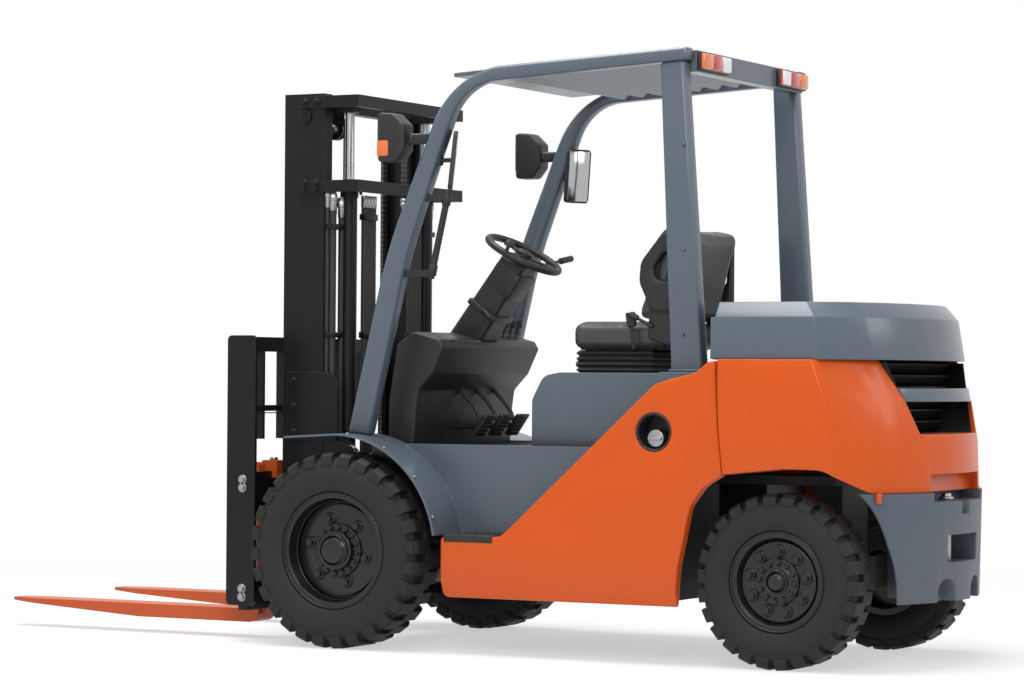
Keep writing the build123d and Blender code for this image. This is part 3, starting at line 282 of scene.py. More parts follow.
@dataclass(frozen=True)
class Finish:
    """One surface finish with grain, dust and worn edges."""

    name: str
    colour: Colour
    roughness: float
    metallic: float = 0.0
    coat: float = 0.0
    coat_roughness: float = 0.12
    specular: float = 0.5
    edge: float = 0.0025
    grain_scale: float = 900.0
    grain_depth: float = 0.00003
    tone: float = 0.06
    broad_scale: float = 3.2
    fine_scale: float = 60.0
    dust: float = 0.0
    dust_colour: Colour = (0.23, 0.20, 0.17)
    dust_height: float = 0.55
    dust_roughness: float = 0.35
    wear: float = 0.0
    wear_colour: Colour = (0.35, 0.35, 0.35)

    def build(self) -> bpy.types.Material:
        """Makes the material.

        Returns:
            A material whose colour, roughness and bump all vary over the surface.
        """
        shader = Shader(self.name)
        broad = shader.noise(self.broad_scale, 4.0)
        fine = shader.noise(self.fine_scale, 4.0)
        light = tuple(min(1.0, share * (1 + self.tone) + 0.002) for share in self.colour)
        dark = tuple(share * (1 - self.tone) for share in self.colour)
        colour = shader.mix(broad * 0.7 + fine * 0.3, dark, light)
        rough = (broad - 0.5) * 0.10 + (fine - 0.5) * 0.06 + self.roughness
        normal = shader.soft_edges(self.edge)
        if self.wear:
            rubbed = self._edge_mask(shader, normal, fine)
            colour = shader.mix(rubbed * self.wear, colour, self.wear_colour)
            rough = rough - rubbed * 0.08
        if self.dust:
            film = self._dust_mask(shader, fine)
            colour = shader.mix(film * self.dust, colour, self.dust_colour)
            rough = rough + film * (self.dust_roughness * self.dust)
        bump = shader.bump(shader.noise(self.grain_scale, 2.0), self.grain_depth, normal)
        shader.set(Base_Color=colour, Roughness=rough.clamped(), Normal=bump)
        shader.set(Metallic=self.metallic, Specular_IOR_Level=self.specular)
        shader.set(Coat_Weight=self.coat, Coat_Roughness=self.coat_roughness)
        return shader.material

    @staticmethod
    def _edge_mask(shader: Shader, normal: Wire, fine: Wire) -> Wire:
        """One on sharp edges and nought on flat faces."""
        geometry = shader.add("ShaderNodeNewGeometry")
        dot = shader.add("ShaderNodeVectorMath", {"operation": "DOT_PRODUCT"},
                         {0: geometry.outputs["True Normal"], 1: normal})
        bend = 1.0 - shader.wire(dot, "Value")
        return (bend * (fine * 2.0)).above(0.06, 0.25)

    def _dust_mask(self, shader: Shader, fine: Wire) -> Wire:
        """A film of dust that thickens towards the floor."""
        (up,) = shader.axes("Z")
        height = up * (-1.0 / self.dust_height) + 1.0
        return (height.clamped() * (fine * 1.3 + 0.2)).clamped()


@dataclass(frozen=True)
class TyreFinish:
    """Rubber with fine moulded rings round the side walls, about the wheel's own axle."""

    name: str
    axle: tuple[float, float]
    colour: Colour = (0.0095, 0.0095, 0.0100)
    dust_colour: Colour = (0.085, 0.082, 0.078)
    ring_radians_per_metre: float = 640.0
    roughness: float = 0.66
    grain_depth: float = 0.00012
    ring_depth: float = 0.0008

    def build(self) -> bpy.types.Material:
        """Makes the material.

        Returns:
            Black rubber whose rings, dust and gloss vary over the tyre.
        """
        shader = Shader(self.name)
        centre = truck(self.axle[0], 0, self.axle[1])
        ahead, up = shader.axes("X", "Z")
        across, upward = ahead - centre.x, up - centre.z
        reach = (across * across + upward * upward).root()
        ridges = (reach * self.ring_radians_per_metre).wave().above(0.72, 0.2)
        fine = shader.noise(70.0, 4.0)
        broad = shader.noise(5.0, 3.0)
        colour = shader.mix((fine * 0.5 + broad * 0.3).clamped() * 0.34, self.colour, self.dust_colour)
        colour = shader.mix((broad * 0.5 + 0.35).clamped(), colour, self.colour)
        rough = (fine - 0.5) * 0.14 + ridges * -0.05 + self.roughness
        normal = shader.bump(shader.noise(420.0, 2.0), self.grain_depth, shader.soft_edges(0.004))
        normal = shader.bump(ridges, self.ring_depth, normal, 0.7)
        shader.set(Base_Color=colour, Roughness=rough.clamped(), Normal=normal, Specular_IOR_Level=0.3)
        return shader.material


@dataclass(frozen=True)
class ChainFinish:
    """Oiled steel with the plates and pins of a leaf chain, and painted shade in the gaps between them."""

    pitch: float = 0.019
    plate_radians_per_metre: float = 1500.0
    relief: float = 0.0012
    steel: Colour = (0.16, 0.155, 0.15)
    oil: Colour = (0.045, 0.043, 0.04)
    # Colour of the painted shade in the gaps between the pins and the plates.
    gap_shade: Colour = (0.012, 0.012, 0.012)

    def build(self) -> bpy.types.Material:
        """Makes the material.

        Returns:
            Dark steel that is banded along the chain and across its plates, with painted shade in the gaps
            between them.
        """
        shader = Shader("leaf_chain")
        across, up = shader.axes("Y", "Z")
        pins = (up * (2 * math.pi / self.pitch)).wave().above(-0.2, 0.5)
        plates = (across * self.plate_radians_per_metre).wave().above(-0.4, 0.4)
        fine = shader.noise(120.0, 3.0)
        colour = shader.mix((fine * 0.6 + 0.2).clamped(), self.steel, self.oil)
        # Painted shade: the gap colour darkens the gaps between the pins and between the plates.
        colour = shader.mix((1.0 - pins * 0.55 - plates * 0.4).clamped(), colour, self.gap_shade)
        bump = shader.bump(pins * 0.6 + plates * 0.4, self.relief)
        shader.set(Base_Color=colour, Roughness=(fine * 0.2 + 0.3).clamped(), Normal=bump, Metallic=0.9)
        return shader.material


class Paintbox:
    """Builds each finish once and hands it out by name."""

    def __init__(self, finishes: Iterable[Finish]) -> None:
        """Keeps the finishes by name."""
        self.finishes = {finish.name: finish for finish in finishes}
        self.made: dict[str, bpy.types.Material] = {}

    def get(self, name: str) -> bpy.types.Material:
        """The material of that name, made on first use."""
        if name not in self.made:
            self.made[name] = self.finishes[name].build()
        return self.made[name]

    def add(self, name: str, material: bpy.types.Material) -> None:
        """Adds a material that was built another way."""
        self.made[name] = material

    def paint(self, piece: bpy.types.Object, name: str) -> None:
        """Gives every face of a piece one finish."""
        slots = piece.data.materials
        if not slots:
            slots.append(self.get(name))
        for index in range(len(slots)):
            slots[index] = self.get(name)


# Stage


@dataclass(frozen=True)
class Viewpoint:
    """The camera, in the place from which the truck was seen."""

    place: Point = (-5.7026, 10.3478, 0.9815)
    yaw: float = 0.4955
    pitch: float = 0.0113
    roll: float = 0.0069
    focal_pixels: float = 3174.19
    image_width: int = 1024
    sensor: float = 36.0

    def build(self) -> bpy.types.Object:
        """Adds the camera and makes it the scene's own.

        Returns:
            The camera object.
        """
        level = math.cos(self.pitch)
        ahead = Vector((math.sin(self.yaw) * level, -math.cos(self.yaw) * level, math.sin(self.pitch)))
        right = ahead.cross(Vector((0, 0, 1))).normalized()
        up = right.cross(ahead)
        cosine, sine = math.cos(self.roll), math.sin(self.roll)
        right, up = right * cosine + up * sine, up * cosine - right * sine
        data = bpy.data.cameras.new("camera")
        data.sensor_width = self.sensor
        data.lens = self.focal_pixels / self.image_width * self.sensor
        data.clip_end = 100.0
        camera = bpy.data.objects.new("camera", data)
        basis = Matrix((right, up, -ahead)).transposed().to_4x4()
        camera.matrix_world = Matrix.Translation(self.place) @ basis
        bpy.context.scene.collection.objects.link(camera)
        bpy.context.scene.camera = camera
        return camera


@dataclass(frozen=True)
class SoftBox:
    """A square studio lamp that points at the truck."""

    name: str
    place: Point
    size: float
    power: float
    target: Point = (0.0, 0.0, 0.9)

    def build(self) -> None:
        """Adds the lamp."""
        data = bpy.data.lights.new(self.name, "AREA")
        data.shape = "SQUARE"
        data.size = self.size
        data.energy = self.power
        lamp = bpy.data.objects.new(self.name, data)
        aim = (Vector(self.target) - Vector(self.place)).to_track_quat("-Z", "Y")
        lamp.matrix_world = Matrix.Translation(self.place) @ aim.to_matrix().to_4x4()
        bpy.context.scene.collection.objects.link(lamp)


@dataclass
class Studio:
    """The pale floor, the even light round the truck and the lamps."""

    floor_size: float = 60.0
    floor_colour: Colour = (0.86, 0.86, 0.86)
    shadow_reach: float = 5.0
    fade_reach: float = 26.0
    glow_share: float = 0.55
    sky: Colour = (0.86, 0.88, 0.92)
    sky_strength: float = 0.46
    lamps: tuple[SoftBox, ...] = (
        SoftBox("top_lamp", (0.3, 0.6, 6.6), 4.5, 560.0),
        SoftBox("key_lamp", (-3.0, 6.5, 4.6), 3.0, 230.0),
        SoftBox("rear_lamp", (-7.0, -1.0, 3.6), 2.5, 90.0),
    )

    def build(self) -> None:
        """Adds the floor, the sky and the lamps, and sets how colours are shown."""
        scene = bpy.context.scene
        scene.view_settings.view_transform = "Standard"
        bpy.ops.mesh.primitive_plane_add(size=self.floor_size)
        floor = bpy.context.active_object
        floor.name = "floor"
        floor.data.materials.append(self._floor_material())
        self._sky()
        for lamp in self.lamps:
            lamp.build()

    @staticmethod
    def _seen(tree: NodeTree) -> Wire:
        """One for what the camera sees, straight or by way of a mirror or clear glass."""
        path = tree.add("ShaderNodeLightPath")
        straight, mirrored, through = (tree.wire(path, "Is %s Ray" % kind)
                                       for kind in ("Camera", "Glossy", "Transmission"))
        return (straight + mirrored + through).clamped()

    def _floor_material(self) -> bpy.types.Material:
        """A matte floor that reads as white to the camera and to mirrors, and keeps the shadow."""
        shader = Shader("studio_floor")
        shader.set(Base_Color=(*self.floor_colour, 1.0), Roughness=0.9)
        across, along = shader.axes("X", "Y")
        square = across * across + along * along
        far = ((square - self.shadow_reach) * (1 / self.fade_reach)).clamped()
        share = self._seen(shader) * (far * (1 - self.glow_share) + self.glow_share)
        glow = shader.add("ShaderNodeEmission", {}, {"Color": WHITE, "Strength": 1.0})
        matte = shader.surface.outputs[0]
        mix = shader.add("ShaderNodeMixShader", {}, {0: share, 1: matte, 2: glow.outputs[0]})
        shader.feed(shader.output.inputs["Surface"], mix.outputs[0])
        return shader.material

    def _sky(self) -> None:
        """A plain sky that is white to the camera and soft on the truck."""
        world = bpy.data.worlds.new("studio")
        bpy.context.scene.world = world
        world.use_nodes = True
        tree = NodeTree(world.node_tree)
        lit = tree.add("ShaderNodeBackground", {}, {0: (*self.sky, 1.0), 1: self.sky_strength})
        white = tree.add("ShaderNodeBackground", {}, {0: WHITE})
        inputs = {0: self._seen(tree), 1: lit.outputs[0], 2: white.outputs[0]}
        mix = tree.add("ShaderNodeMixShader", {}, inputs)
        tree.add("ShaderNodeOutputWorld", {}, {0: mix.outputs[0]})


FINISHES = (
    Finish("orange_paint", (0.540, 0.074, 0.004), 0.32, coat=0.08, grain_scale=420.0, grain_depth=0.00002,
           dust=0.03, edge=0.007, specular=0.22),
    Finish("grey_paint", (0.076, 0.098, 0.122), 0.30, coat=0.16, grain_scale=420.0, grain_depth=0.00002,
           dust=0.06, edge=0.006, specular=0.4),
    Finish("base_paint", (0.070, 0.090, 0.110), 0.44, grain_scale=160.0, grain_depth=0.0003,
           dust=0.12, edge=0.008, specular=0.3),
    Finish("dark_grey_paint", (0.020, 0.022, 0.025), 0.48, grain_scale=300.0,
           dust=0.12, wear=0.12, specular=0.35),
    Finish("black_paint", (0.0045, 0.0050, 0.0060), 0.40, grain_scale=420.0,
           dust=0.02, wear=0.05, edge=0.004, specular=0.22),
    Finish("rim_paint", (0.0050, 0.0050, 0.0055), 0.27, grain_scale=420.0,
           dust=0.02, edge=0.005, specular=0.42),
    Finish("fork_paint", (0.480, 0.070, 0.008), 0.40, dust=0.08, wear=0.20, specular=0.3),
    Finish("bright_rod", (0.42, 0.42, 0.43), 0.20, metallic=1.0, grain_scale=1200.0, grain_depth=0.000005),
    Finish("black_plastic", (0.0125, 0.0125, 0.0135), 0.50, grain_scale=1500.0, grain_depth=0.00008,
           tone=0.1, specular=0.4),
    Finish("seat_cover", (0.024, 0.024, 0.026), 0.40, grain_scale=900.0, grain_depth=0.0002,
           tone=0.14, specular=0.7),
    Finish("lamp_white", (0.70, 0.70, 0.70), 0.12, coat=0.6, grain_scale=300.0),
    Finish("lamp_red", (0.46, 0.020, 0.014), 0.14, coat=0.6, grain_scale=300.0),
    Finish("lamp_amber", (0.66, 0.14, 0.015), 0.14, coat=0.6, grain_scale=300.0),
    Finish("nut_steel", (0.34, 0.34, 0.35), 0.34, metallic=1.0, grain_scale=600.0, dust=0.10),
    Finish("rubber_mat", (0.015, 0.015, 0.016), 0.66, grain_scale=700.0, grain_depth=0.0001, dust=0.10),
    Finish("gloss_black", (0.010, 0.010, 0.012), 0.42, grain_scale=400.0, grain_depth=0.000005),
    Finish("mirror_glass", (0.42, 0.43, 0.44), 0.10, metallic=1.0, grain_scale=300.0, grain_depth=0.000002),
)

FINISH_NODES = {
    "orange_paint": ("side_panel", "counterweight_body"),
    "grey_paint": ("cowl", "rear_deck", "guard_pillar", "guard_legs", "guard_roof", "counterweight_cover",
                   "hood"),
    "base_paint": ("counterweight_base",),
    "dark_grey_paint": ("frame", "drive_axle", "steer_axle", "power_unit", "knuckle"),
    "black_paint": ("mast_outer", "lift_barrels", "mast_inner", "carriage", "load_backrest",
                    "tilt_barrels"),
    "rim_paint": ("front_rim", "rear_rim"),
    "fork_paint": ("fork",),
    "bright_rod": ("lift_rods", "tilt_rods"),
    "black_plastic": ("floor_plate", "dash", "steering_column", "controls", "head_lamps", "mirrors",
                      "assist_grip", "fuel_filler", "seat_suspension", "seat_wings", "steering_wheel",
                      "air_grille"),
    "seat_cover": ("seat_cushion", "seat_back"),
    "lamp_red": ("rear_lamps",),
    "front_tread": ("front_tyre",),
    "rear_tread": ("rear_tyre",),
    "leaf_chain": ("lift_chains",),
}
NODE_FINISH = {node: finish for finish, nodes in FINISH_NODES.items() for node in nodes}


def finish_of(node: str) -> str:
    """The finish of a CAD node, whose name may end in its side."""
    return NODE_FINISH[node.removesuffix("_left").removesuffix("_right")]


# The export slot of each finish that isn't its own slot.
OTHER_SLOTS = {
    "base_paint": "cast_base",
    "nut_steel": "bare_steel",
    "gloss_black": "black_plastic",
    "rubber_mat": "black_plastic",
    "lamp_white": "lamp_lens",
    "lamp_red": "lamp_lens",
    "lamp_amber": "lamp_lens",
}


@dataclass
class Bodywork:
    """The pieces that come from the CAD model and keep its shapes."""

    paintbox: Paintbox

    def dress(self) -> None:
        """Gives every CAD piece its finish."""
        for name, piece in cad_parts.items():
            self.paintbox.paint(piece, finish_of(name))
            LOG.info("dressed %s", name)


# Modelling


# Edges that turn by more are bevelled, and faces that turn by less are shaded as one.
BEVEL_ANGLE = math.radians(30)
SMOOTH_ANGLE = math.radians(32)


class Workbench:
    """Models rigid pieces with Blender's own operators, in millimetres from the front axle."""

    def __init__(self, paintbox: Paintbox) -> None:
        """Keeps the finishes."""
        self.paintbox = paintbox

    @staticmethod
    def pick(*chosen: bpy.types.Object) -> None:
        """Selects these pieces alone, the first of them active."""
        bpy.ops.object.select_all(action="DESELECT")
        for piece in chosen:
            piece.select_set(True)
        bpy.context.view_layer.objects.active = chosen[0]

    def modify(self, piece: bpy.types.Object, kind: str, **settings: object) -> None:
        """Adds a modifier and applies it.

        Args:
            piece: The piece to change.
            kind: The modifier's type.
            settings: Properties of the modifier.
        """
        self.pick(piece)
        modifier = piece.modifiers.new(kind.lower(), kind)
        for key, value in settings.items():
            setattr(modifier, key, value)
        bpy.ops.object.modifier_apply(modifier=modifier.name)

    def fix(self, piece: bpy.types.Object, bevel: float = 0.0) -> bpy.types.Object:
        """Moves a piece's place into its mesh and rounds its edges.

        Args:
            piece: The new piece.
            bevel: Width of the rounding in millimetres.

        Returns:
            The same piece.
        """
        self.pick(piece)
        bpy.ops.object.transform_apply(location=True, rotation=True, scale=True)
        if bevel:
            self.modify(piece, "BEVEL", width=bevel / MM, segments=2, limit_method="ANGLE",
                        angle_limit=BEVEL_ANGLE)
        self.pick(piece)
        bpy.ops.object.shade_smooth_by_angle(angle=SMOOTH_ANGLE)
        return piece

    def box(self, low: Point, high: Point, bevel: float = 2.0,
            turn: Point = (0, 0, 0)) -> bpy.types.Object:
        """A box with rounded edges between two corners.

        Args:
            low: The lowest corner.
            high: The highest corner.
            bevel: Width of the rounding.
            turn: Degrees of turn about X, Y and Z round its middle.

        Returns:
            The box.
        """
        middle = truck(*((a + b) / 2 for a, b in zip(low, high)))
        angles = [math.radians(angle) for angle in turn]
        bpy.ops.mesh.primitive_cube_add(size=1.0, location=middle, rotation=angles)
        piece = bpy.context.active_object
        piece.scale = [(b - a) / MM for a, b in zip(low, high)]
        return self.fix(piece, bevel)

    def rod(self, start: Point, end: Point, radius: float, bevel: float = 0.0, sides: int = 32,
            end_radius: Optional[float] = None) -> bpy.types.Object:
        """A round bar or a cone between two points.

        Args:
            start: Middle of the first end.
            end: Middle of the far end.
            radius: Radius of the first end.
            bevel: Width of the rounding at its ends.
            sides: Number of sides.
            end_radius: Radius of the far end, if it differs.

        Returns:
            The bar.
        """
        first, last = truck(*start), truck(*end)
        line = last - first
        far = radius if end_radius is None else end_radius
        bpy.ops.mesh.primitive_cone_add(vertices=sides, radius1=radius / MM, radius2=far / MM,
                                        depth=line.length, location=(first + last) / 2,
                                        rotation=line.to_track_quat("Z", "Y").to_euler())
        return self.fix(bpy.context.active_object, bevel)

    def ring(self, middle: Point, axis: Point, radius: float, thickness: float) -> bpy.types.Object:
        """A round ring about an axis.

        Args:
            middle: Middle of the ring.
            axis: Direction of its axis.
            radius: Radius of its centreline.
            thickness: Radius of its section.

        Returns:
            The ring.
        """
        bpy.ops.mesh.primitive_torus_add(location=truck(*middle), major_segments=72, minor_segments=10,
                                         rotation=Vector(axis).to_track_quat("Z", "Y").to_euler(),
                                         major_radius=radius / MM, minor_radius=thickness / MM)
        return self.fix(bpy.context.active_object)

    def dome(self, middle: Point, axis: Point, radius: float, rise: float) -> bpy.types.Object:
        """A half ball, flattened along its axis.

        Args:
            middle: Middle of its flat side.
            axis: Direction in which it bulges.
            radius: Radius of its flat side.
            rise: How far it bulges.

        Returns:
            The dome.
        """
        bpy.ops.mesh.primitive_uv_sphere_add(segments=32, ring_count=16, radius=1.0)
        piece = bpy.context.active_object
        bpy.ops.object.mode_set(mode="EDIT")
        bpy.ops.mesh.select_all(action="SELECT")
        bpy.ops.mesh.bisect(plane_co=(0, 0, 0), plane_no=(0, 0, 1), use_fill=True, clear_inner=True)
        bpy.ops.object.mode_set(mode="OBJECT")
        piece.location = truck(*middle)
        piece.rotation_euler = Vector(axis).to_track_quat("Z", "Y").to_euler()
        piece.scale = (radius / MM, radius / MM, rise / MM)
        return self.fix(piece)

    def plate(self, outline: Sequence[tuple[float, float]], y_low: float, y_high: float,
              bevel: float = 1.5) -> bpy.types.Object:
        """A flat outline in X and Z, made a plate across the truck.

        Args:
            outline: Corners of the outline.
            y_low: The plate's right face.
            y_high: The plate's left face.
            bevel: Width of the rounding.

        Returns:
            The plate.
        """
        curve = bpy.data.curves.new("outline", "CURVE")
        curve.dimensions = "2D"
        curve.fill_mode = "BOTH"
        curve.extrude = (y_high - y_low) / 2 / MM
        line = curve.splines.new("POLY")
        line.points.add(len(outline) - 1)
        for point, (x, z) in zip(line.points, outline):
            point.co = (x / MM, z / MM, 0, 1)
        line.use_cyclic_u = True
        piece = bpy.data.objects.new("plate", curve)
        bpy.context.scene.collection.objects.link(piece)
        self.pick(piece)
        bpy.ops.object.convert(target="MESH")
        piece = bpy.context.active_object
        self.merge(piece)
        piece.rotation_euler = (math.radians(90), 0, 0)
        piece.location = truck(0, (y_low + y_high) / 2, 0)
        return self.fix(piece, bevel)

    def merge(self, piece: bpy.types.Object) -> None:
        """Merges doubled points and turns the faces outwards."""
        self.pick(piece)
        bpy.ops.object.mode_set(mode="EDIT")
        bpy.ops.mesh.select_all(action="SELECT")
        bpy.ops.mesh.remove_doubles(threshold=0.00002)
        bpy.ops.mesh.normals_make_consistent(inside=False)
        bpy.ops.object.mode_set(mode="OBJECT")

    def hose(self, points: Sequence[Point], radius: float) -> bpy.types.Object:
        """A smooth hose or pipe along points.

        Args:
            points: Points on its centreline.
            radius: Its radius.

        Returns:
            The hose.
        """
        curve = bpy.data.curves.new("hose", "CURVE")
        curve.dimensions = "3D"
        curve.bevel_depth = radius / MM
        curve.bevel_resolution = 3
        curve.use_fill_caps = True
        curve.resolution_u = 8
        line = curve.splines.new("BEZIER")
        line.bezier_points.add(len(points) - 1)
        for knot, place in zip(line.bezier_points, points):
            knot.co = truck(*place)
            knot.handle_left_type = knot.handle_right_type = "AUTO"
        piece = bpy.data.objects.new("hose", curve)
        bpy.context.scene.collection.objects.link(piece)
        self.pick(piece)
        bpy.ops.object.convert(target="MESH")
        return self.fix(bpy.context.active_object)

    def bolts(self, places: Iterable[Seat], size: float, height: float) -> bpy.types.Object:
        """Hexagon bolts with washers, joined in one piece.

        Args:
            places: The seat of each bolt and the direction it points in.
            size: Radius across the corners.
            height: Height of the head.

        Returns:
            The joined bolts.
        """
        bpy.ops.mesh.primitive_cylinder_add(vertices=20, radius=1.35, depth=0.3, location=(0, 0, 0.15))
        washer = bpy.context.active_object
        bpy.ops.mesh.primitive_cylinder_add(vertices=6, radius=1.0, depth=1.0, location=(0, 0, 0.7))
        head = bpy.context.active_object
        self.pick(washer, head)
        bpy.ops.object.join()
        pattern = self.fix(bpy.context.active_object)
        made = []
        for place, axis in places:
            bolt = self.duplicate(pattern)
            turn = Vector(axis).to_track_quat("Z", "Y").to_matrix().to_4x4()
            grow = Matrix.Diagonal((size / MM, size / MM, height / MM, 1.0))
            bolt.data.transform(Matrix.Translation(truck(*place)) @ turn @ grow)
            made.append(bolt)
        bpy.data.objects.remove(pattern)
        joined = self.join(made)
        self.modify(joined, "BEVEL", width=0.9 / MM, segments=1, limit_method="ANGLE",
                    angle_limit=math.radians(40))
        return joined

    def duplicate(self, piece: bpy.types.Object) -> bpy.types.Object:
        """A copy of a piece with its own mesh."""
        twin = piece.copy()
        twin.data = piece.data.copy()
        bpy.context.scene.collection.objects.link(twin)
        return twin

    def moved(self, piece: bpy.types.Object, offset: Point) -> bpy.types.Object:
        """A copy of a piece, moved by millimetres along each axis."""
        twin = self.duplicate(piece)
        twin.data.transform(Matrix.Translation([length / MM for length in offset]))
        return twin

    def mirrored(self, piece: bpy.types.Object) -> bpy.types.Object:
        """A copy of a piece on the truck's other side."""
        twin = self.duplicate(piece)
        twin.data.transform(Matrix.Scale(-1, 4, (0, 1, 0)))
        twin.data.flip_normals()
        return twin

    def join(self, made: Sequence[bpy.types.Object]) -> bpy.types.Object:
        """Joins pieces in one."""
        self.pick(*made)
        if len(made) > 1:
            bpy.ops.object.join()
        return bpy.context.view_layer.objects.active

    def finish(self, piece: bpy.types.Object, name: str, finish: str, body: str) -> bpy.types.Object:
        """Names and paints a piece and ties it to its body.

        Args:
            piece: The finished shape.
            name: The piece's name.
            finish: Name of its finish.
            body: Name of the body that it moves with.

        Returns:
            The same piece.
        """
        piece.name = name
        self.paintbox.paint(piece, finish)
        OTHER_SLOTS.get(finish, finish)
        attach(piece, body)
        LOG.info("made %s", name)
        return piece

    def pair(self, piece: bpy.types.Object, name: str, finish: str, bodies: tuple[str, str]) -> None:
        """Finishes a left piece and its mirrored copy.

        Args:
            piece: The left piece.
            name: Name of both, without the side.
            finish: Name of their finish.
            bodies: The left and the right body.
        """
        twin = self.mirrored(piece)
        self.finish(piece, name + "_left", finish, bodies[0])
        self.finish(twin, name + "_right", finish, bodies[1])


CHASSIS = ("chassis", "chassis")
MAST = ("mast", "mast")
INNER_MAST = ("inner_mast", "inner_mast")
CARRIAGE = ("carriage", "carriage")
HOOD = ("hood", "hood")


def round_places(count: int, radius: float, middle: Point, start: float) -> list[Seat]:
    """Seats of bolts on a circle about an axis across the truck.

    Args:
        count: Number of bolts.
        radius: Radius of the circle.
        middle: Middle of the circle.
        start: Angle of the first bolt in degrees.

    Returns:
        The seat and direction of each bolt.
    """
    x, y, z = middle
    seats = []
    for index in range(count):
        angle = math.radians(start + index * 360 / count)
        seats.append(((x + radius * math.cos(angle), y, z + radius * math.sin(angle)), OUT))
    return seats


# Rounded castings and panels


@dataclass
class Rounded:
    """A CAD piece whose outer edges get the radius of the pressing, casting or moulding."""

    node: str
    radius: float
    body: str = "chassis"
    bend: float = 28.0
    smooth: int = 0
    voxel: float = 6.0

    def build(self, bench: Workbench) -> None:
        """Copies the plain shape, rounds it and puts the copy in its place."""
        piece = bench.duplicate(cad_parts[self.node])
        piece.parent = None
        bench.merge(piece)
        bpy.ops.object.mode_set(mode="EDIT")
        bpy.ops.mesh.select_all(action="SELECT")
        bpy.ops.mesh.dissolve_limited(angle_limit=math.radians(1.0))
        bpy.ops.object.mode_set(mode="OBJECT")
        bench.modify(piece, "BEVEL", width=self.radius / MM, segments=3, limit_method="ANGLE",
                     angle_limit=math.radians(self.bend), use_clamp_overlap=True, miter_outer="MITER_ARC")
        if self.smooth:
            bench.modify(piece, "REMESH", mode="VOXEL", voxel_size=self.voxel / MM)
            bench.modify(piece, "SMOOTH", factor=0.5, iterations=self.smooth)
        bench.pick(piece)
        bpy.ops.object.shade_smooth_by_angle(angle=math.radians(34))
        piece.data.materials.clear()
        bench.finish(piece, self.node + "_rounded", finish_of(self.node), self.body)
        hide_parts(self.node)


ROUNDED = (
    Rounded("guard_pillar_left", 14.0),
    Rounded("guard_pillar_right", 14.0),
    Rounded("guard_legs", 10.0),
    Rounded("counterweight_body", 16.0),
    Rounded("counterweight_cover", 16.0),
    Rounded("counterweight_base", 10.0),
    Rounded("side_panel_left", 9.0),
    Rounded("side_panel_right", 9.0),
    Rounded("dash", 16.0),
    Rounded("steering_column", 9.0),
    Rounded("hood", 14.0, "hood"),
    Rounded("seat_wings", 6.0, "hood", smooth=14),
    Rounded("head_lamps", 9.0),
    Rounded("mirrors", 6.0),
)


# Wheels


@dataclass
class Wheel:
    """The fittings on one pair of wheels: disc, studs, hub bolts, cap, beads and valve.

    The axle is its X and Z. The places in Y are the left wheel's, and the shares are of the rim's radius.
    """

    stem: str
    axle: tuple[float, float]
    disc_y: float
    hub_end_y: float
    rim_radius: float
    rim_face_y: float
    hub_radius: float
    stud_radius: float
    stud_count: int
    flange_radius: float
    flange_count: int
    stud_start: float = 12
    stud_size: float = 14
    stud_height: float = 15
    flange_start: float = 5
    flange_bolt: float = 8
    step_height: float = 16
    step_share: float = 0.80
    bead_share: float = 0.86
    valve_share: float = 0.90
    boss_height: float = 6
    boss_radius: float = 21
    collar_height: float = 14
    sunk: float = 2

    def build(self, bench: Workbench) -> None:
        """Models the fittings on the left wheel and mirrors them."""
        x, z = self.axle
        face = self.disc_y + self.step_height
        boss_face = face + self.boss_height
        collar_face = face + self.collar_height
        studs = round_places(self.stud_count, self.stud_radius, (x, boss_face, z), self.stud_start)
        hub_bolts = round_places(self.flange_count, self.flange_radius, (x, collar_face, z),
                                 self.flange_start)
        step_radius = self.step_share * self.rim_radius
        step = bench.rod((x, self.disc_y - self.sunk, z), (x, face, z), step_radius, 6, 96)
        collar = bench.rod((x, face - self.sunk, z), (x, collar_face, z), self.flange_radius + 13, 3, 64)
        sleeve = bench.rod((x, face + 10, z), (x, self.hub_end_y - 10, z), self.hub_radius + 9, 6, 64)
        bosses = [bench.rod((a, face - self.sunk, b), (a, boss_face, b), self.boss_radius, 3, 24)
                  for (a, _, b), _ in studs]
        self._pair(bench, bench.join([step, collar, sleeve, *bosses]), "disc")
        self._pair(bench, bench.bolts(studs, self.stud_size, self.stud_height), "studs")
        self._pair(bench, bench.bolts(hub_bolts, self.flange_bolt, self.flange_bolt), "hub_bolts")
        cap = bench.dome((x, self.hub_end_y, z), OUT, self.hub_radius - 16, 8)
        ring = bench.ring((x, self.hub_end_y - 5, z), OUT, self.hub_radius - 6, 4)
        self._pair(bench, bench.join([cap, ring]), "cap")
        beads = [bench.ring((x, self.rim_face_y, z), OUT, self.rim_radius - 5, 4),
                 bench.ring((x, self.rim_face_y - 8, z), OUT, self.rim_radius - 16, 6),
                 bench.ring((x, face - self.sunk, z), OUT, self.bead_share * self.rim_radius, 6)]
        self._pair(bench, bench.join(beads), "beads")
        valve_x = x + self.valve_share * self.rim_radius
        valve = bench.rod((valve_x, self.disc_y, z), (valve_x + 4, self.rim_face_y + 4, z + 4), 5, 1)
        self._pair(bench, valve, "valve", "black_plastic")

    def _pair(self, bench: Workbench, piece: bpy.types.Object, name: str,
              finish: str = "rim_paint") -> None:
        """Finishes a fitting on both wheels of the pair."""
        bodies = ("wheel_%s_left" % self.stem, "wheel_%s_right" % self.stem)
        bench.pair(piece, "%s_%s" % (self.stem, name), finish, bodies)


FRONT_AXLE = (0, 352)
REAR_AXLE = (-1700, 297)
WHEELS = (
    Wheel("front", FRONT_AXLE, disc_y=562, hub_end_y=626, rim_radius=211, rim_face_y=624, hub_radius=62,
          stud_radius=118, stud_count=6, flange_radius=84, flange_count=16),
    Wheel("rear", REAR_AXLE, disc_y=515, hub_end_y=557, rim_radius=172, rim_face_y=549, hub_radius=44,
          stud_radius=104, stud_count=9, flange_radius=66, flange_count=12),
)


# Seat and controls


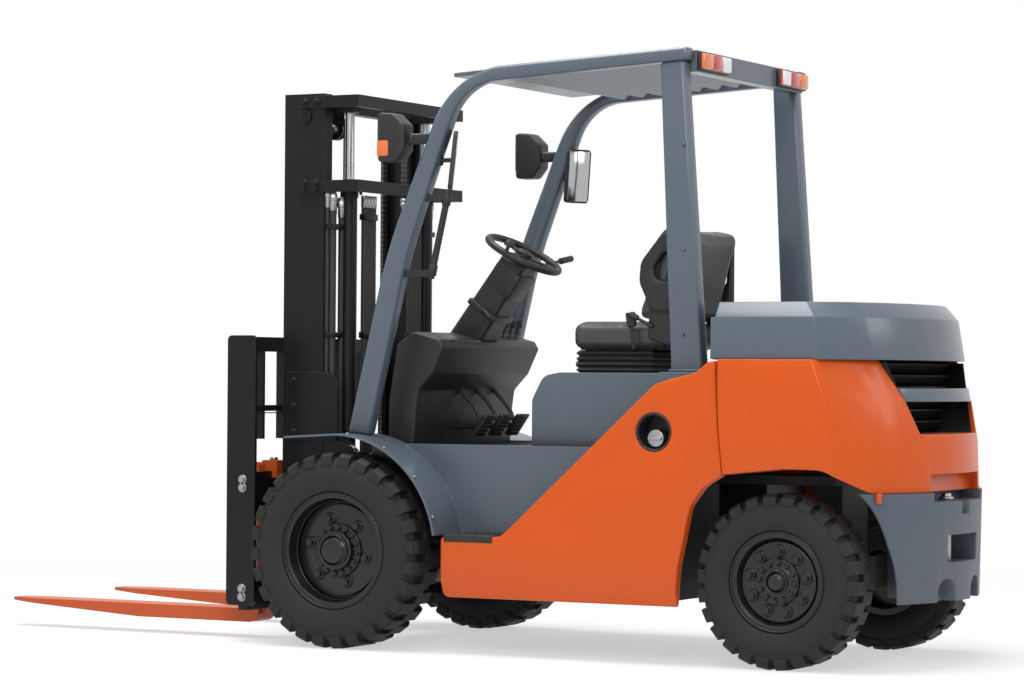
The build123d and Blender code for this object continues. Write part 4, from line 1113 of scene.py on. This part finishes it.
@dataclass
class Pad:
    """One padded part of the seat, blown up from its plain shape."""

    node: str
    name: str
    crown: float = 9.0
    shrink: float = 1.6
    voxel: float = 5.5
    quick_voxel: float = 6.5
    pressure: float = 4.0
    steps: int = 20

    def build(self, bench: Workbench) -> None:
        """Puffs a copy of the plain shape, caps its swelling and puts it in the solid's place."""
        piece = bench.duplicate(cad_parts[self.node])
        piece.parent = None
        bench.merge(piece)
        self._shrink(piece)
        voxel = self.voxel
        bench.modify(piece, "REMESH", mode="VOXEL", voxel_size=voxel / MM)
        self._blow(bench, piece)
        bench.modify(piece, "SMOOTH", factor=0.5, iterations=6)
        bench.modify(piece, "SUBSURF", levels=1, render_levels=1)
        bench.pick(piece)
        bpy.ops.object.shade_smooth()
        bench.finish(piece, self.name, "seat_cover", "hood")
        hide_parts(self.node)

    def _shrink(self, piece: bpy.types.Object) -> None:
        """Draws the shape in by the height of its crown."""
        low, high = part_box(self.node)
        middle = (Vector(low) + Vector(high)) / 2
        size = Vector(high) - Vector(low)
        for vertex in piece.data.vertices:
            for axis in range(3):
                share = 1 - self.shrink * self.crown / MM / size[axis]
                vertex.co[axis] = middle[axis] + (vertex.co[axis] - middle[axis]) * share

    def _blow(self, bench: Workbench, piece: bpy.types.Object) -> None:
        """Lets air pressure round the shape, then holds each point within the crown's height."""
        before = [vertex.co.copy() for vertex in piece.data.vertices]
        bench.pick(piece)
        cloth = piece.modifiers.new("cloth", "CLOTH")
        cloth.settings.use_pressure = True
        cloth.settings.uniform_pressure_force = self.pressure
        cloth.settings.effector_weights.gravity = 0.0
        cloth.settings.quality = 4
        scene = bpy.context.scene
        for step in range(1, self.steps + 1):
            scene.frame_set(step)
        bpy.ops.object.modifier_apply(modifier=cloth.name)
        scene.frame_set(1)
        for vertex, start in zip(piece.data.vertices, before):
            shift = vertex.co - start
            if shift.length > self.crown / MM:
                vertex.co = start + shift.normalized() * (self.crown / MM)


@dataclass
class Cabin:
    """The driver's place: seat pads, adjusters, belt, mat, pedals and the hand wheel's knob."""

    pads: tuple[Pad, ...] = (Pad("seat_cushion", "seat_pad"), Pad("seat_back", "back_pad"))
    rail_y: float = 150
    lever_y: float = 120
    lever_x: float = -722
    recline_arm: Ends = ((-1092, 256, 1160), (-1030, 262, 1192))
    recline_knob: Ends = ((-1036, 261, 1189), (-1004, 264, 1205))
    belt_stalk: Ends = ((-1010, 234, 1080), (-996, 240, 1176))
    belt_buckle: Ends = ((-1016, 231, 1160), (-980, 247, 1212))
    belt_reel: Ends = ((-1120, -262, 1110), (-1120, -232, 1110))
    belt_lean: float = 8
    floor_z: float = 722
    mat_half_width: float = 352
    rib_pitch: float = 22
    rib_count: int = 32
    pedal_places: tuple[float, ...] = (-200, -70, 60)
    pedal_x: float = -316
    pedal_z: float = 800
    pedal_lean: float = 35
    pedal_rib_pitch: float = 17
    wheel_middle: Point = (-435, 0, 1432)
    wheel_lean: float = 28
    knob_radius: float = 142

    def build(self, bench: Workbench) -> None:
        """Builds every part of the driver's place."""
        for pad in self.pads:
            pad.build(bench)
        self._adjusters(bench)
        self._belt(bench)
        self._mat(bench)
        self._pedals(bench)
        self._hand_wheel(bench)

    def _adjusters(self, bench: Workbench) -> None:
        """The slide rails, the wire lever under the cushion and the back's lever."""
        rails = [bench.box((-1090, y - 16, 1078), (-760, y + 16, 1084))
                 for y in (-self.rail_y, self.rail_y)]
        bench.finish(bench.join(rails), "seat_rails", "dark_grey_paint", "hood")
        end, grip = self.lever_y, self.lever_x
        wire = bench.hose([(-800, end, 1070), (grip - 23, end, 1052), (grip, end, 1030), (grip, 0, 1026),
                           (grip, -end, 1030), (grip - 23, -end, 1052)], 4)
        bench.finish(wire, "slide_lever", "nut_steel", "hood")
        arm = bench.rod(*self.recline_arm, 6, 1)
        knob = bench.rod(*self.recline_knob, 11, 4)
        bench.finish(bench.join([arm, knob]), "recline_lever", "black_plastic", "hood")

    def _belt(self, bench: Workbench) -> None:
        """The seat belt's buckle and its stalk, with the reel on the other side."""
        turn = (0, self.belt_lean, 0)
        stalk = bench.box(*self.belt_stalk, 1.5, turn)
        buckle = bench.box(*self.belt_buckle, 5, turn)
        reel = bench.rod(*self.belt_reel, 34, 5)
        bench.finish(bench.join([stalk, buckle, reel]), "seat_belt", "black_plastic", "hood")

    def _mat(self, bench: Workbench) -> None:
        """The ribbed rubber mat on the floor."""
        half, top = self.mat_half_width, self.floor_z + 5
        base = bench.box((-632, -half, self.floor_z), (-212, half, top))
        rib = bench.box((-622, 8 - half, top), (-222, 14 - half, top + 3), 1)
        ribs = [bench.moved(rib, (0, index * self.rib_pitch, 0)) for index in range(1, self.rib_count)]
        bench.finish(bench.join([base, rib, *ribs]), "floor_mat", "rubber_mat", "chassis")

    def _pedals(self, bench: Workbench) -> None:
        """Ribbed rubber pads and bent arms of the three pedals."""
        x, z, turn = self.pedal_x, self.pedal_z, (0, -self.pedal_lean, 0)
        lean = math.radians(self.pedal_lean)
        for number, y in enumerate(self.pedal_places, 1):
            pieces = [bench.box((x, y - 35, z - 48), (x + 9, y + 35, z + 48), 3, turn)]
            for step in range(-2, 3):
                slide = step * self.pedal_rib_pitch
                rib_x, rib_z = x - slide * math.sin(lean), z + slide * math.cos(lean)
                low, high = (rib_x - 3, y - 29, rib_z - 3), (rib_x + 3, y + 29, rib_z + 3)
                pieces.append(bench.box(low, high, 1, turn))
            bench.finish(bench.join(pieces), "pedal_pad_%d" % number, "rubber_mat", "chassis")
            arm = bench.hose([(x + 22, y, 790), (x + 34, y, 838), (x + 66, y, 884), (x + 112, y, 928)], 8)
            bench.finish(arm, "pedal_arm_%d" % number, "dark_grey_paint", "chassis")

    def _hand_wheel(self, bench: Workbench) -> None:
        """The horn button in the middle of the hand wheel and the knob on its rim."""
        lean = math.radians(self.wheel_lean)
        axis = Vector((-math.sin(lean), 0, math.cos(lean)))
        seat = Vector(self.wheel_middle) + axis * 10
        button = bench.dome(tuple(seat), tuple(axis), 27, 9)
        rim = bench.ring(tuple(seat), tuple(axis), 28, 3)
        place = seat + Vector(OUT) * self.knob_radius
        stem = bench.rod(tuple(place), tuple(place + axis * 22), 7, 1)
        knob = bench.dome(tuple(place + axis * 20), tuple(axis), 20, 26)
        bench.finish(bench.join([button, rim, stem, knob]), "horn_and_knob", "black_plastic", "hand_wheel")


# Mast, carriage and forks


@dataclass
class MastGear:
    """Bolts, caps, glands, hoses, chain ends and sheaves' fittings on the two stages of the mast."""

    rail_y: float = 378
    tie_bolts_x: tuple[float, ...] = (226, 276)
    plate_bolts_z: tuple[float, ...] = (770, 960, 865)
    saddle_y: float = 351
    lift_x: float = 150
    lift_y: float = 280
    rail_hoses: tuple[tuple[float, float], ...] = ((196, 0), (172, 0), (186, 26), (166, 48))
    tilt_hoses: tuple[float, ...] = (202, 180, 158, 136)
    tilt_hose_x: float = 132
    hose_radius: float = 11
    chain_y: float = 214
    anchor_x: float = 205
    sheave: tuple[float, float] = (250, 1900)
    roller_x: float = 286
    rollers_z: tuple[float, float] = (1940, 216)

    def build(self, bench: Workbench) -> None:
        """Builds every fitting of the mast."""
        self._tie_bolts(bench)
        self._saddle_caps(bench)
        self._glands(bench)
        self._rail_hoses(bench)
        self._tilt_hoses(bench)
        self._chain_ends(bench)
        self._sheaves(bench)
        self._roller_covers(bench)

    def _tie_bolts(self, bench: Workbench) -> None:
        """Bolt heads on the sides of the ties and on the rail plates."""
        side = self.rail_y + 14
        seats = [((x, side, z), OUT) for x in self.tie_bolts_x for z in (1670, 1690)]
        seats += [((x, side, 1990), OUT) for x in self.tie_bolts_x]
        seats += [((320, self.rail_y + 10, z), OUT) for z in self.plate_bolts_z]
        bench.pair(bench.bolts(seats, 11, 10), "mast_bolts", "black_paint", MAST)

    def _saddle_caps(self, bench: Workbench) -> None:
        """The bearing caps that hold the mast on the axle."""
        y = self.saddle_y
        cap = bench.box((-92, y - 21, 262), (-72, y + 21, 442), 6)
        bench.pair(cap, "saddle_cap", "black_paint", MAST)
        seats = [((-92, y, z), BACK) for z in (276, 428)]
        bench.pair(bench.bolts(seats, 12, 11), "saddle_bolts", "nut_steel", MAST)

    def _glands(self, bench: Workbench) -> None:
        """The gland nuts of the lift cylinders with their drain elbows, and their feet."""
        x, y = self.lift_x, self.lift_y
        gland = bench.rod((x, y, 1664), (x, y, 1698), 36, 3, 12)
        collar = bench.rod((x, y, 1700), (x, y, 1708), 26, 2)
        elbow = bench.hose([(x - 30, y, 1676), (x - 46, y, 1672), (x - 50, y, 1650)], 6)
        foot = bench.rod((x, y, 176), (x, y, 214), 36, 3)
        bench.pair(bench.join([gland, collar, elbow, foot]), "lift_gland", "black_paint", MAST)

    def _rail_hoses(self, bench: Workbench) -> None:
        """The hoses beside the rails, with their fittings."""
        for index, (x, inward) in enumerate(self.rail_hoses):
            y, top = self.rail_y - 20 - inward, 1650 - 12 * index
            hose = bench.hose([(x, y, z) for z in (300 + 20 * index, 900, 1300, top)], self.hose_radius)
            bench.pair(hose, "rail_hose_%d" % (index + 1), "rubber_mat", MAST)
            end = bench.rod((x, y, top - 50), (x, y, top + 26), 13, 2, 16)
            nut = bench.rod((x, y, top - 12), (x, y, top + 10), 16, 1, 6)
            bench.pair(bench.join([end, nut]), "hose_end_%d" % (index + 1), "nut_steel", MAST)

    def _tilt_hoses(self, bench: Workbench) -> None:
        """The hoses between the lift cylinders, the guides and clips, and the lift cylinder's own hose."""
        x, radius = self.tilt_hose_x, self.hose_radius
        for number, y in enumerate(self.tilt_hoses, 1):
            hose = bench.hose([(x, y, z) for z in (260, 900, 1300, 1645)], radius)
            end = bench.rod((x, y, 1606), (x, y, 1652), 13, 2, 16)
            bench.pair(hose, "tilt_hose_%d" % number, "rubber_mat", MAST)
            bench.pair(end, "tilt_hose_end_%d" % number, "nut_steel", MAST)
        guides = [bench.box((x - 14, 122, z), (x + 14, 216, z + 24), 4) for z in (620, 1120, 1560)]
        bench.pair(bench.join(guides), "hose_guides", "black_paint", MAST)
        y = self.rail_y - 20
        clips = [bench.box((154, y - 64, z), (212, y + 14, z + 20), 4) for z in (720, 1120, 1520)]
        bench.pair(bench.join(clips), "pipe_clips", "black_paint", MAST)
        y = self.lift_y
        feed = bench.hose([(self.lift_x - 30, y, 230), (96, y, 250), (84, y, 330), (104, y - 20, 470),
                           (120, y + 20, 600)], 9)
        bench.pair(feed, "lift_hose", "rubber_mat", MAST)

    def _chain_ends(self, bench: Workbench) -> None:
        """The threaded anchors with their nuts behind the mid tie."""
        x, y = self.anchor_x, self.chain_y
        bolt = bench.rod((x, y, 1612), (x, y, 1664), 8, 1, 16)
        nuts = [bench.rod((x, y, z), (x, y, z + 14), 15, 1, 6) for z in (1634, 1650)]
        bench.pair(bench.join([bolt, *nuts]), "chain_anchor", "nut_steel", MAST)

    def _sheaves(self, bench: Workbench) -> None:
        """Flanges and axle nuts of the chain sheaves."""
        x, z = self.sheave
        rims = [bench.ring((x, y, z), OUT, 38, 2.2) for y in (self.chain_y - 11, self.chain_y + 11)]
        nut = bench.bolts([((x, self.chain_y + 19, z), OUT)], 14, 8)
        bench.pair(bench.join([*rims, nut]), "sheave_rims", "nut_steel", INNER_MAST)

    def _roller_covers(self, bench: Workbench) -> None:
        """The roller covers outside the rails."""
        x, y = self.roller_x, self.rail_y
        covers = [bench.rod((x, y - 2, z), (x, y + 7, z), 30, 3) for z in self.rollers_z]
        bench.pair(bench.join(covers), "roller_covers", "black_paint", MAST)


@dataclass
class LoadGear:
    """Bolts, pins, notches and a seam on the carriage, the load guard and the forks."""

    side_y: float = 548
    guard_x: float = 436
    guard_bolts_z: tuple[float, ...] = (566, 596, 165, 195)
    pin_x: float = 438
    pin_y: float = 335
    notch_count: int = 15
    notch_pitch: float = 70
    bar_top: float = 622.2
    seam: Ends = ((425, -540, 838), (431, 540, 842))

    def build(self, bench: Workbench) -> None:
        """Builds every fitting of the carriage."""
        seats = [((self.guard_x, self.side_y, z), OUT) for z in self.guard_bolts_z]
        bench.pair(bench.bolts(seats, 13, 11), "guard_bolts", "nut_steel", CARRIAGE)
        for side in Side:
            x, y = self.pin_x, side.value * self.pin_y
            pin = bench.rod((x, y, 645), (x, y, 664), 10, 2)
            knob = bench.rod((x, y, 662), (x, y, 674), 16, 4)
            word = side.word
            bench.finish(bench.join([pin, knob]), "fork_pin_" + word, "nut_steel", "fork_" + word)
        first = -self.notch_pitch * (self.notch_count - 1) / 2
        notches = []
        for index in range(self.notch_count):
            y = first + index * self.notch_pitch
            notches.append(bench.box((420, y - 5, self.bar_top), (438, y + 5, self.bar_top + 1), 0.3))
        bench.finish(bench.join(notches), "bar_notches", "dark_grey_paint", "carriage")
        bench.finish(bench.box(*self.seam, 1), "guard_seam", "black_paint", "carriage")


# Overhead guard


@dataclass
class GuardGear:
    """Lenses, mirror glass, bolts and grips on the overhead guard."""

    pillar_y: float = 490
    lamp_offset: float = 32
    lamp_x: float = -132
    head_lens_z: float = 1850
    tail_x: float = -1362
    tail_lenses: tuple[tuple[str, str, float, float], ...] = (
        ("turn", "lamp_amber", 378, 454),
        ("stop", "lamp_red", 300, 374),
        ("reverse", "lamp_white", 228, 296),
    )
    mirror: Point = (-400, 489, 1752)
    mirror_yaw: float = 28.4
    mirror_pitch: float = 95.9
    clamp_x: float = -352
    leg_x: float = -1330
    leg_bolts_z: tuple[float, ...] = (1130, 1420, 1780)
    leg_foot: Ends = ((-1412, 446, 1000), (-1276, 514, 1010))
    grip_sleeves: tuple[Ends, Ends] = (
        ((-390, 490, 1632), (-381, 490, 1590)),
        ((-333, 490, 1380), (-325, 490, 1340)),
    )

    def build(self, bench: Workbench) -> None:
        """Builds the lamps' lenses, the mirrors' glass, the bolts and the grips."""
        self._head_lamps(bench)
        self._tail_lamps(bench)
        self._mirrors(bench)
        self._leg_bolts(bench)
        self._grip(bench)

    def _head_lamps(self, bench: Workbench) -> None:
        """A tall clear lens in its bezel, and an amber lens at the outer side of the housing."""
        x, y = self.lamp_x, self.pillar_y + self.lamp_offset
        bezel = bench.box((x - 14, y - 34, 1776), (x + 1, y + 34, 1922), 7)
        bench.pair(bezel, "lamp_bezel", "black_plastic", CHASSIS)
        middle = truck(x, y, self.head_lens_z)
        lens = bench.dome((x, y, self.head_lens_z), FORWARD, 29, 8)
        lens.data.transform(Matrix.Translation(middle) @ Matrix.Diagonal((1, 1, 1.9, 1))
                            @ Matrix.Translation(-middle))
        bench.pair(lens, "head_lens", "lamp_white", CHASSIS)
        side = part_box("head_lamps")[1][1] * MM
        amber = bench.box((x - 50, side - 40, 1768), (x - 1, side + 2, 1826), 6)
        bench.pair(amber, "turn_lens", "lamp_amber", CHASSIS)

    def _tail_lamps(self, bench: Workbench) -> None:
        """Amber, red and white lenses on each rear cluster, in a dark case."""
        x = self.tail_x
        for name, finish, low, high in self.tail_lenses:
            lens = bench.box((x - 18, low, 2046), (x, high, 2098), 5)
            bench.pair(lens, "rear_%s_lens" % name, finish, CHASSIS)
        case = bench.box((x - 6, 218, 2040), (x + 11, 458, 2104), 4)
        bench.pair(case, "rear_lamp_case", "black_plastic", CHASSIS)

    def _mirrors(self, bench: Workbench) -> None:
        """The glass and the clamp of each mirror."""
        bpy.ops.mesh.primitive_cube_add(size=1.0)
        glass = bpy.context.active_object
        glass.scale = (0.092, 0.192, 0.003)
        bench.fix(glass, 1.0)
        yaw = Matrix.Rotation(math.radians(self.mirror_yaw - 90), 4, "Z")
        pitch = Matrix.Rotation(math.radians(self.mirror_pitch), 4, "X")
        glass.data.transform(Matrix.Translation(truck(*self.mirror)) @ (yaw @ pitch)
                             @ Matrix.Translation((0, 0, 0.0165)))
        bench.pair(glass, "mirror_pane", "mirror_glass", CHASSIS)
        _, y, z = self.mirror
        clamp = bench.rod((self.clamp_x, y, z - 18), (self.clamp_x, y, z + 18), 15, 3)
        bench.pair(clamp, "mirror_clamp", "black_plastic", CHASSIS)

    def _leg_bolts(self, bench: Workbench) -> None:
        """Bolts on the outer faces of the legs, and the plates at their feet."""
        bpy.context.view_layer.update()
        legs = bpy.data.objects["guard_legs_rounded"]
        seats = []
        for z in self.leg_bolts_z:
            hit, place, _, _ = legs.ray_cast(truck(self.leg_x, 640, z), Vector((0, -1, 0)))
            if hit:
                seats.append(((self.leg_x, place.y * MM, z), OUT))
        bench.pair(bench.bolts(seats, 6, 4), "leg_bolts", "grey_paint", CHASSIS)
        bench.pair(bench.box(*self.leg_foot, 3), "leg_foot", "grey_paint", CHASSIS)

    def _grip(self, bench: Workbench) -> None:
        """Rubber sleeves at the ends of the grab bar."""
        sleeves = [bench.rod(*ends, 16, 3) for ends in self.grip_sleeves]
        bench.finish(bench.join(sleeves), "grip_sleeves", "black_plastic", "chassis")


# Body


@dataclass
class BodyTrim:
    """Step treads, the fuel cap, seams, latches and the rear's fittings."""

    side_y: float = 600
    step_z: float = 423
    step_rib_pitch: float = 24
    step_rib_count: int = 8
    step_edge: Ends = ((-640, 596, 396), (-444, 601, 421))
    filler: tuple[float, float] = (-1262, 795)
    cap_z: float = 773
    hood_latch: Ends = ((-652, -46, 800), (-643, 46, 846))
    hood_strip: Ends = ((-1200, 329, 726), (-656, 334, 742))
    arch_radius: float = 421
    rivet_angles: tuple[float, ...] = (18, 40, 62, 84)
    instrument_face: Ends = ((-296, 60, 1112), (-236, 300, 1122))
    instrument_lean: float = 17
    column_shroud: Ends = ((-440, -69, 1280), (-320, 69, 1390))
    column_clamp: Ends = ((-366, -75, 1214), (-230, 75, 1238))
    column_lever: tuple[Point, ...] = ((-298, 72, 1226), (-330, 98, 1218), (-352, 106, 1196))
    column_lean: float = 35
    key: Ends = ((-268, -60, 1108), (-270, -60, 1132))
    switches_y: tuple[float, float] = (-96, -120)
    boots_y: tuple[float, ...] = (-190, -240, -290)
    cover_seal: Ends = ((-1476, 180, 1043), (-1464, 560, 1049))
    tow_x: float = -2096
    peg: tuple[float, float] = (-2035, 470)
    duct_front: float = -1660
    duct_bottom: float = 795
    duct_top: float = 1045
    duct_foot: float = 270
    duct_taper: float = 105

    def build(self, bench: Workbench) -> None:
        """Builds every trim piece of the body."""
        self._steps(bench)
        self._fuel_cap(bench)
        self._hood_trim(bench)
        self._mudguards(bench)
        self._dash(bench)
        self._tail(bench)
        self._duct_shade(bench)
        self._seal(bench)

    def _steps(self, bench: Workbench) -> None:
        """The ribbed plate on each foot step, and the step's edge."""
        top, pitch = self.step_z, self.step_rib_pitch
        base = bench.box((-640, 424, top - 4), (-446, 598, top), 1.5)
        ribs = [bench.box((-634 + pitch * index, 432, top - 1), (-626 + pitch * index, 590, top + 3), 1)
                for index in range(self.step_rib_count)]
        bench.pair(bench.join([base, *ribs]), "step_tread", "rubber_mat", CHASSIS)
        bench.pair(bench.box(*self.step_edge), "step_edge", "black_plastic", CHASSIS)

    def _fuel_cap(self, bench: Workbench) -> None:
        """The cap in the filler pot, its grip, the pot's rim and the disc that blanks the right panel."""
        x, pot_z = self.filler
        y, z = self.side_y, self.cap_z
        blank = bench.rod((x, -591, pot_z), (x, -598.6, pot_z), 65.6, 1.5, 96)
        bench.finish(blank, "panel_blank", "orange_paint", "chassis")
        rim = bench.ring((x, y - 4, pot_z), OUT, 63, 4)
        bench.finish(rim, "filler_rim", "black_plastic", "chassis")
        cap = bench.rod((x, y - 34, z), (x, y - 18, z), 31, 4)
        grip = bench.box((x - 26, y - 20, z - 6), (x + 26, y - 8, z + 6), 4)
        bench.finish(bench.join([cap, grip]), "fuel_cap", "nut_steel", "chassis")

    def _hood_trim(self, bench: Workbench) -> None:
        """The hood's latch and the rubber strips at its foot."""
        bench.finish(bench.box(*self.hood_latch, 3), "hood_latch", "black_plastic", "hood")
        bench.pair(bench.box(*self.hood_strip), "hood_strip", "rubber_mat", HOOD)

    def _mudguards(self, bench: Workbench) -> None:
        """Rivets along the rear quarter of each mudguard."""
        x, z = FRONT_AXLE
        seats = []
        for angle in self.rivet_angles:
            level, rise = math.cos(math.radians(angle)), math.sin(math.radians(angle))
            place = (x - self.arch_radius * level, self.side_y, z + self.arch_radius * rise)
            seats.append((place, (-level, 0, rise)))
        bench.pair(bench.bolts(seats, 6, 4), "mudguard_rivets", "nut_steel", CHASSIS)

    def _dash(self, bench: Workbench) -> None:
        """The instrument panel's face, the column's shroud and lever, the switches and the boots."""
        face = bench.box(*self.instrument_face, 4, (0, -self.instrument_lean, 0))
        bench.finish(face, "instrument_face", "gloss_black", "chassis")
        turn = (0, -self.column_lean, 0)
        shroud = bench.box(*self.column_shroud, 16, turn)
        clamp = bench.box(*self.column_clamp, 6, turn)
        lever = bench.hose(self.column_lever, 6)
        bench.finish(bench.join([shroud, clamp, lever]), "column_shroud", "black_plastic", "chassis")
        key = bench.rod(*self.key, 10, 2)
        switches = [bench.box((-276, y, 1108), (-256, y + 14, 1127), 3) for y in self.switches_y]
        bench.finish(bench.join([key, *switches]), "dash_switches", "black_plastic", "chassis")
        boots = [bench.rod((-240, y, 1126), (-246, y, 1142), 16, 2, end_radius=8) for y in self.boots_y]
        bench.finish(bench.join(boots), "lever_boots", "rubber_mat", "chassis")

    def _tail(self, bench: Workbench) -> None:
        """The tow pin and the pegs of the counterweight."""
        x = self.tow_x
        pin = bench.rod((x, 0, 300), (x, 0, 590), 17, 3)
        head = bench.rod((x, 0, 566), (x, 0, 578), 26, 3)
        bench.finish(bench.join([pin, head]), "tow_pin", "nut_steel", "chassis")
        peg_x, peg_y = self.peg
        peg = bench.rod((peg_x, peg_y, 566), (peg_x, peg_y, 600), 10, 2)
        bench.pair(peg, "casting_peg", "orange_paint", CHASSIS)

    def _duct_shade(self, bench: Workbench) -> None:
        """Black sheets on the air duct's leaning walls and on its floor, which paint the shade inside the
        duct.
        """
        front, top, low = self.duct_front, self.duct_top, self.duct_bottom
        lean = math.atan2(self.duct_taper, top - low)
        rim = low + (top - 6 - low) / math.cos(lean)
        # Painted shade: black sheets on the duct's leaning walls stand in for the shade inside the air
        # duct.
        wall = bench.plate([(front, low), (front, rim), (-2018, rim), (-2088, low)], 0, 3, 0.5)
        foot = truck(0, 0, low)
        turn = Matrix.Translation(foot) @ Matrix.Rotation(-lean, 4, "X") @ Matrix.Translation(-foot)
        wall.data.transform(Matrix.Translation((0, (self.duct_foot - 4) / MM, 0)) @ turn)
        bench.pair(wall, "duct_shade_wall", "black_paint", CHASSIS)
        # Painted shade: a black sheet on the duct's floor stands in for the shade inside the air duct.
        floor = bench.box((-2080, 4 - self.duct_foot, low), (front, self.duct_foot - 4, low + 3), 1)
        bench.finish(floor, "duct_shade_floor", "black_paint", "chassis")

    def _seal(self, bench: Workbench) -> None:
        """Rubber seals between the cover and the body."""
        bench.pair(bench.box(*self.cover_seal), "cover_seal", "rubber_mat", CHASSIS)


def main() -> None:
    """Builds the stage and every sub-assembly in turn."""
    Viewpoint().build()
    Studio().build()
    paintbox = Paintbox(FINISHES)
    for name, axle in (("front_tread", FRONT_AXLE), ("rear_tread", REAR_AXLE)):
        paintbox.add(name, TyreFinish(name, axle).build())
    paintbox.add("leaf_chain", ChainFinish().build())
    Bodywork(paintbox).dress()
    bench = Workbench(paintbox)
    for assembly in (Cabin(), *ROUNDED, *WHEELS, MastGear(), LoadGear(), GuardGear(), BodyTrim()):
        assembly.build(bench)


if __name__ == "__main__":
    main()
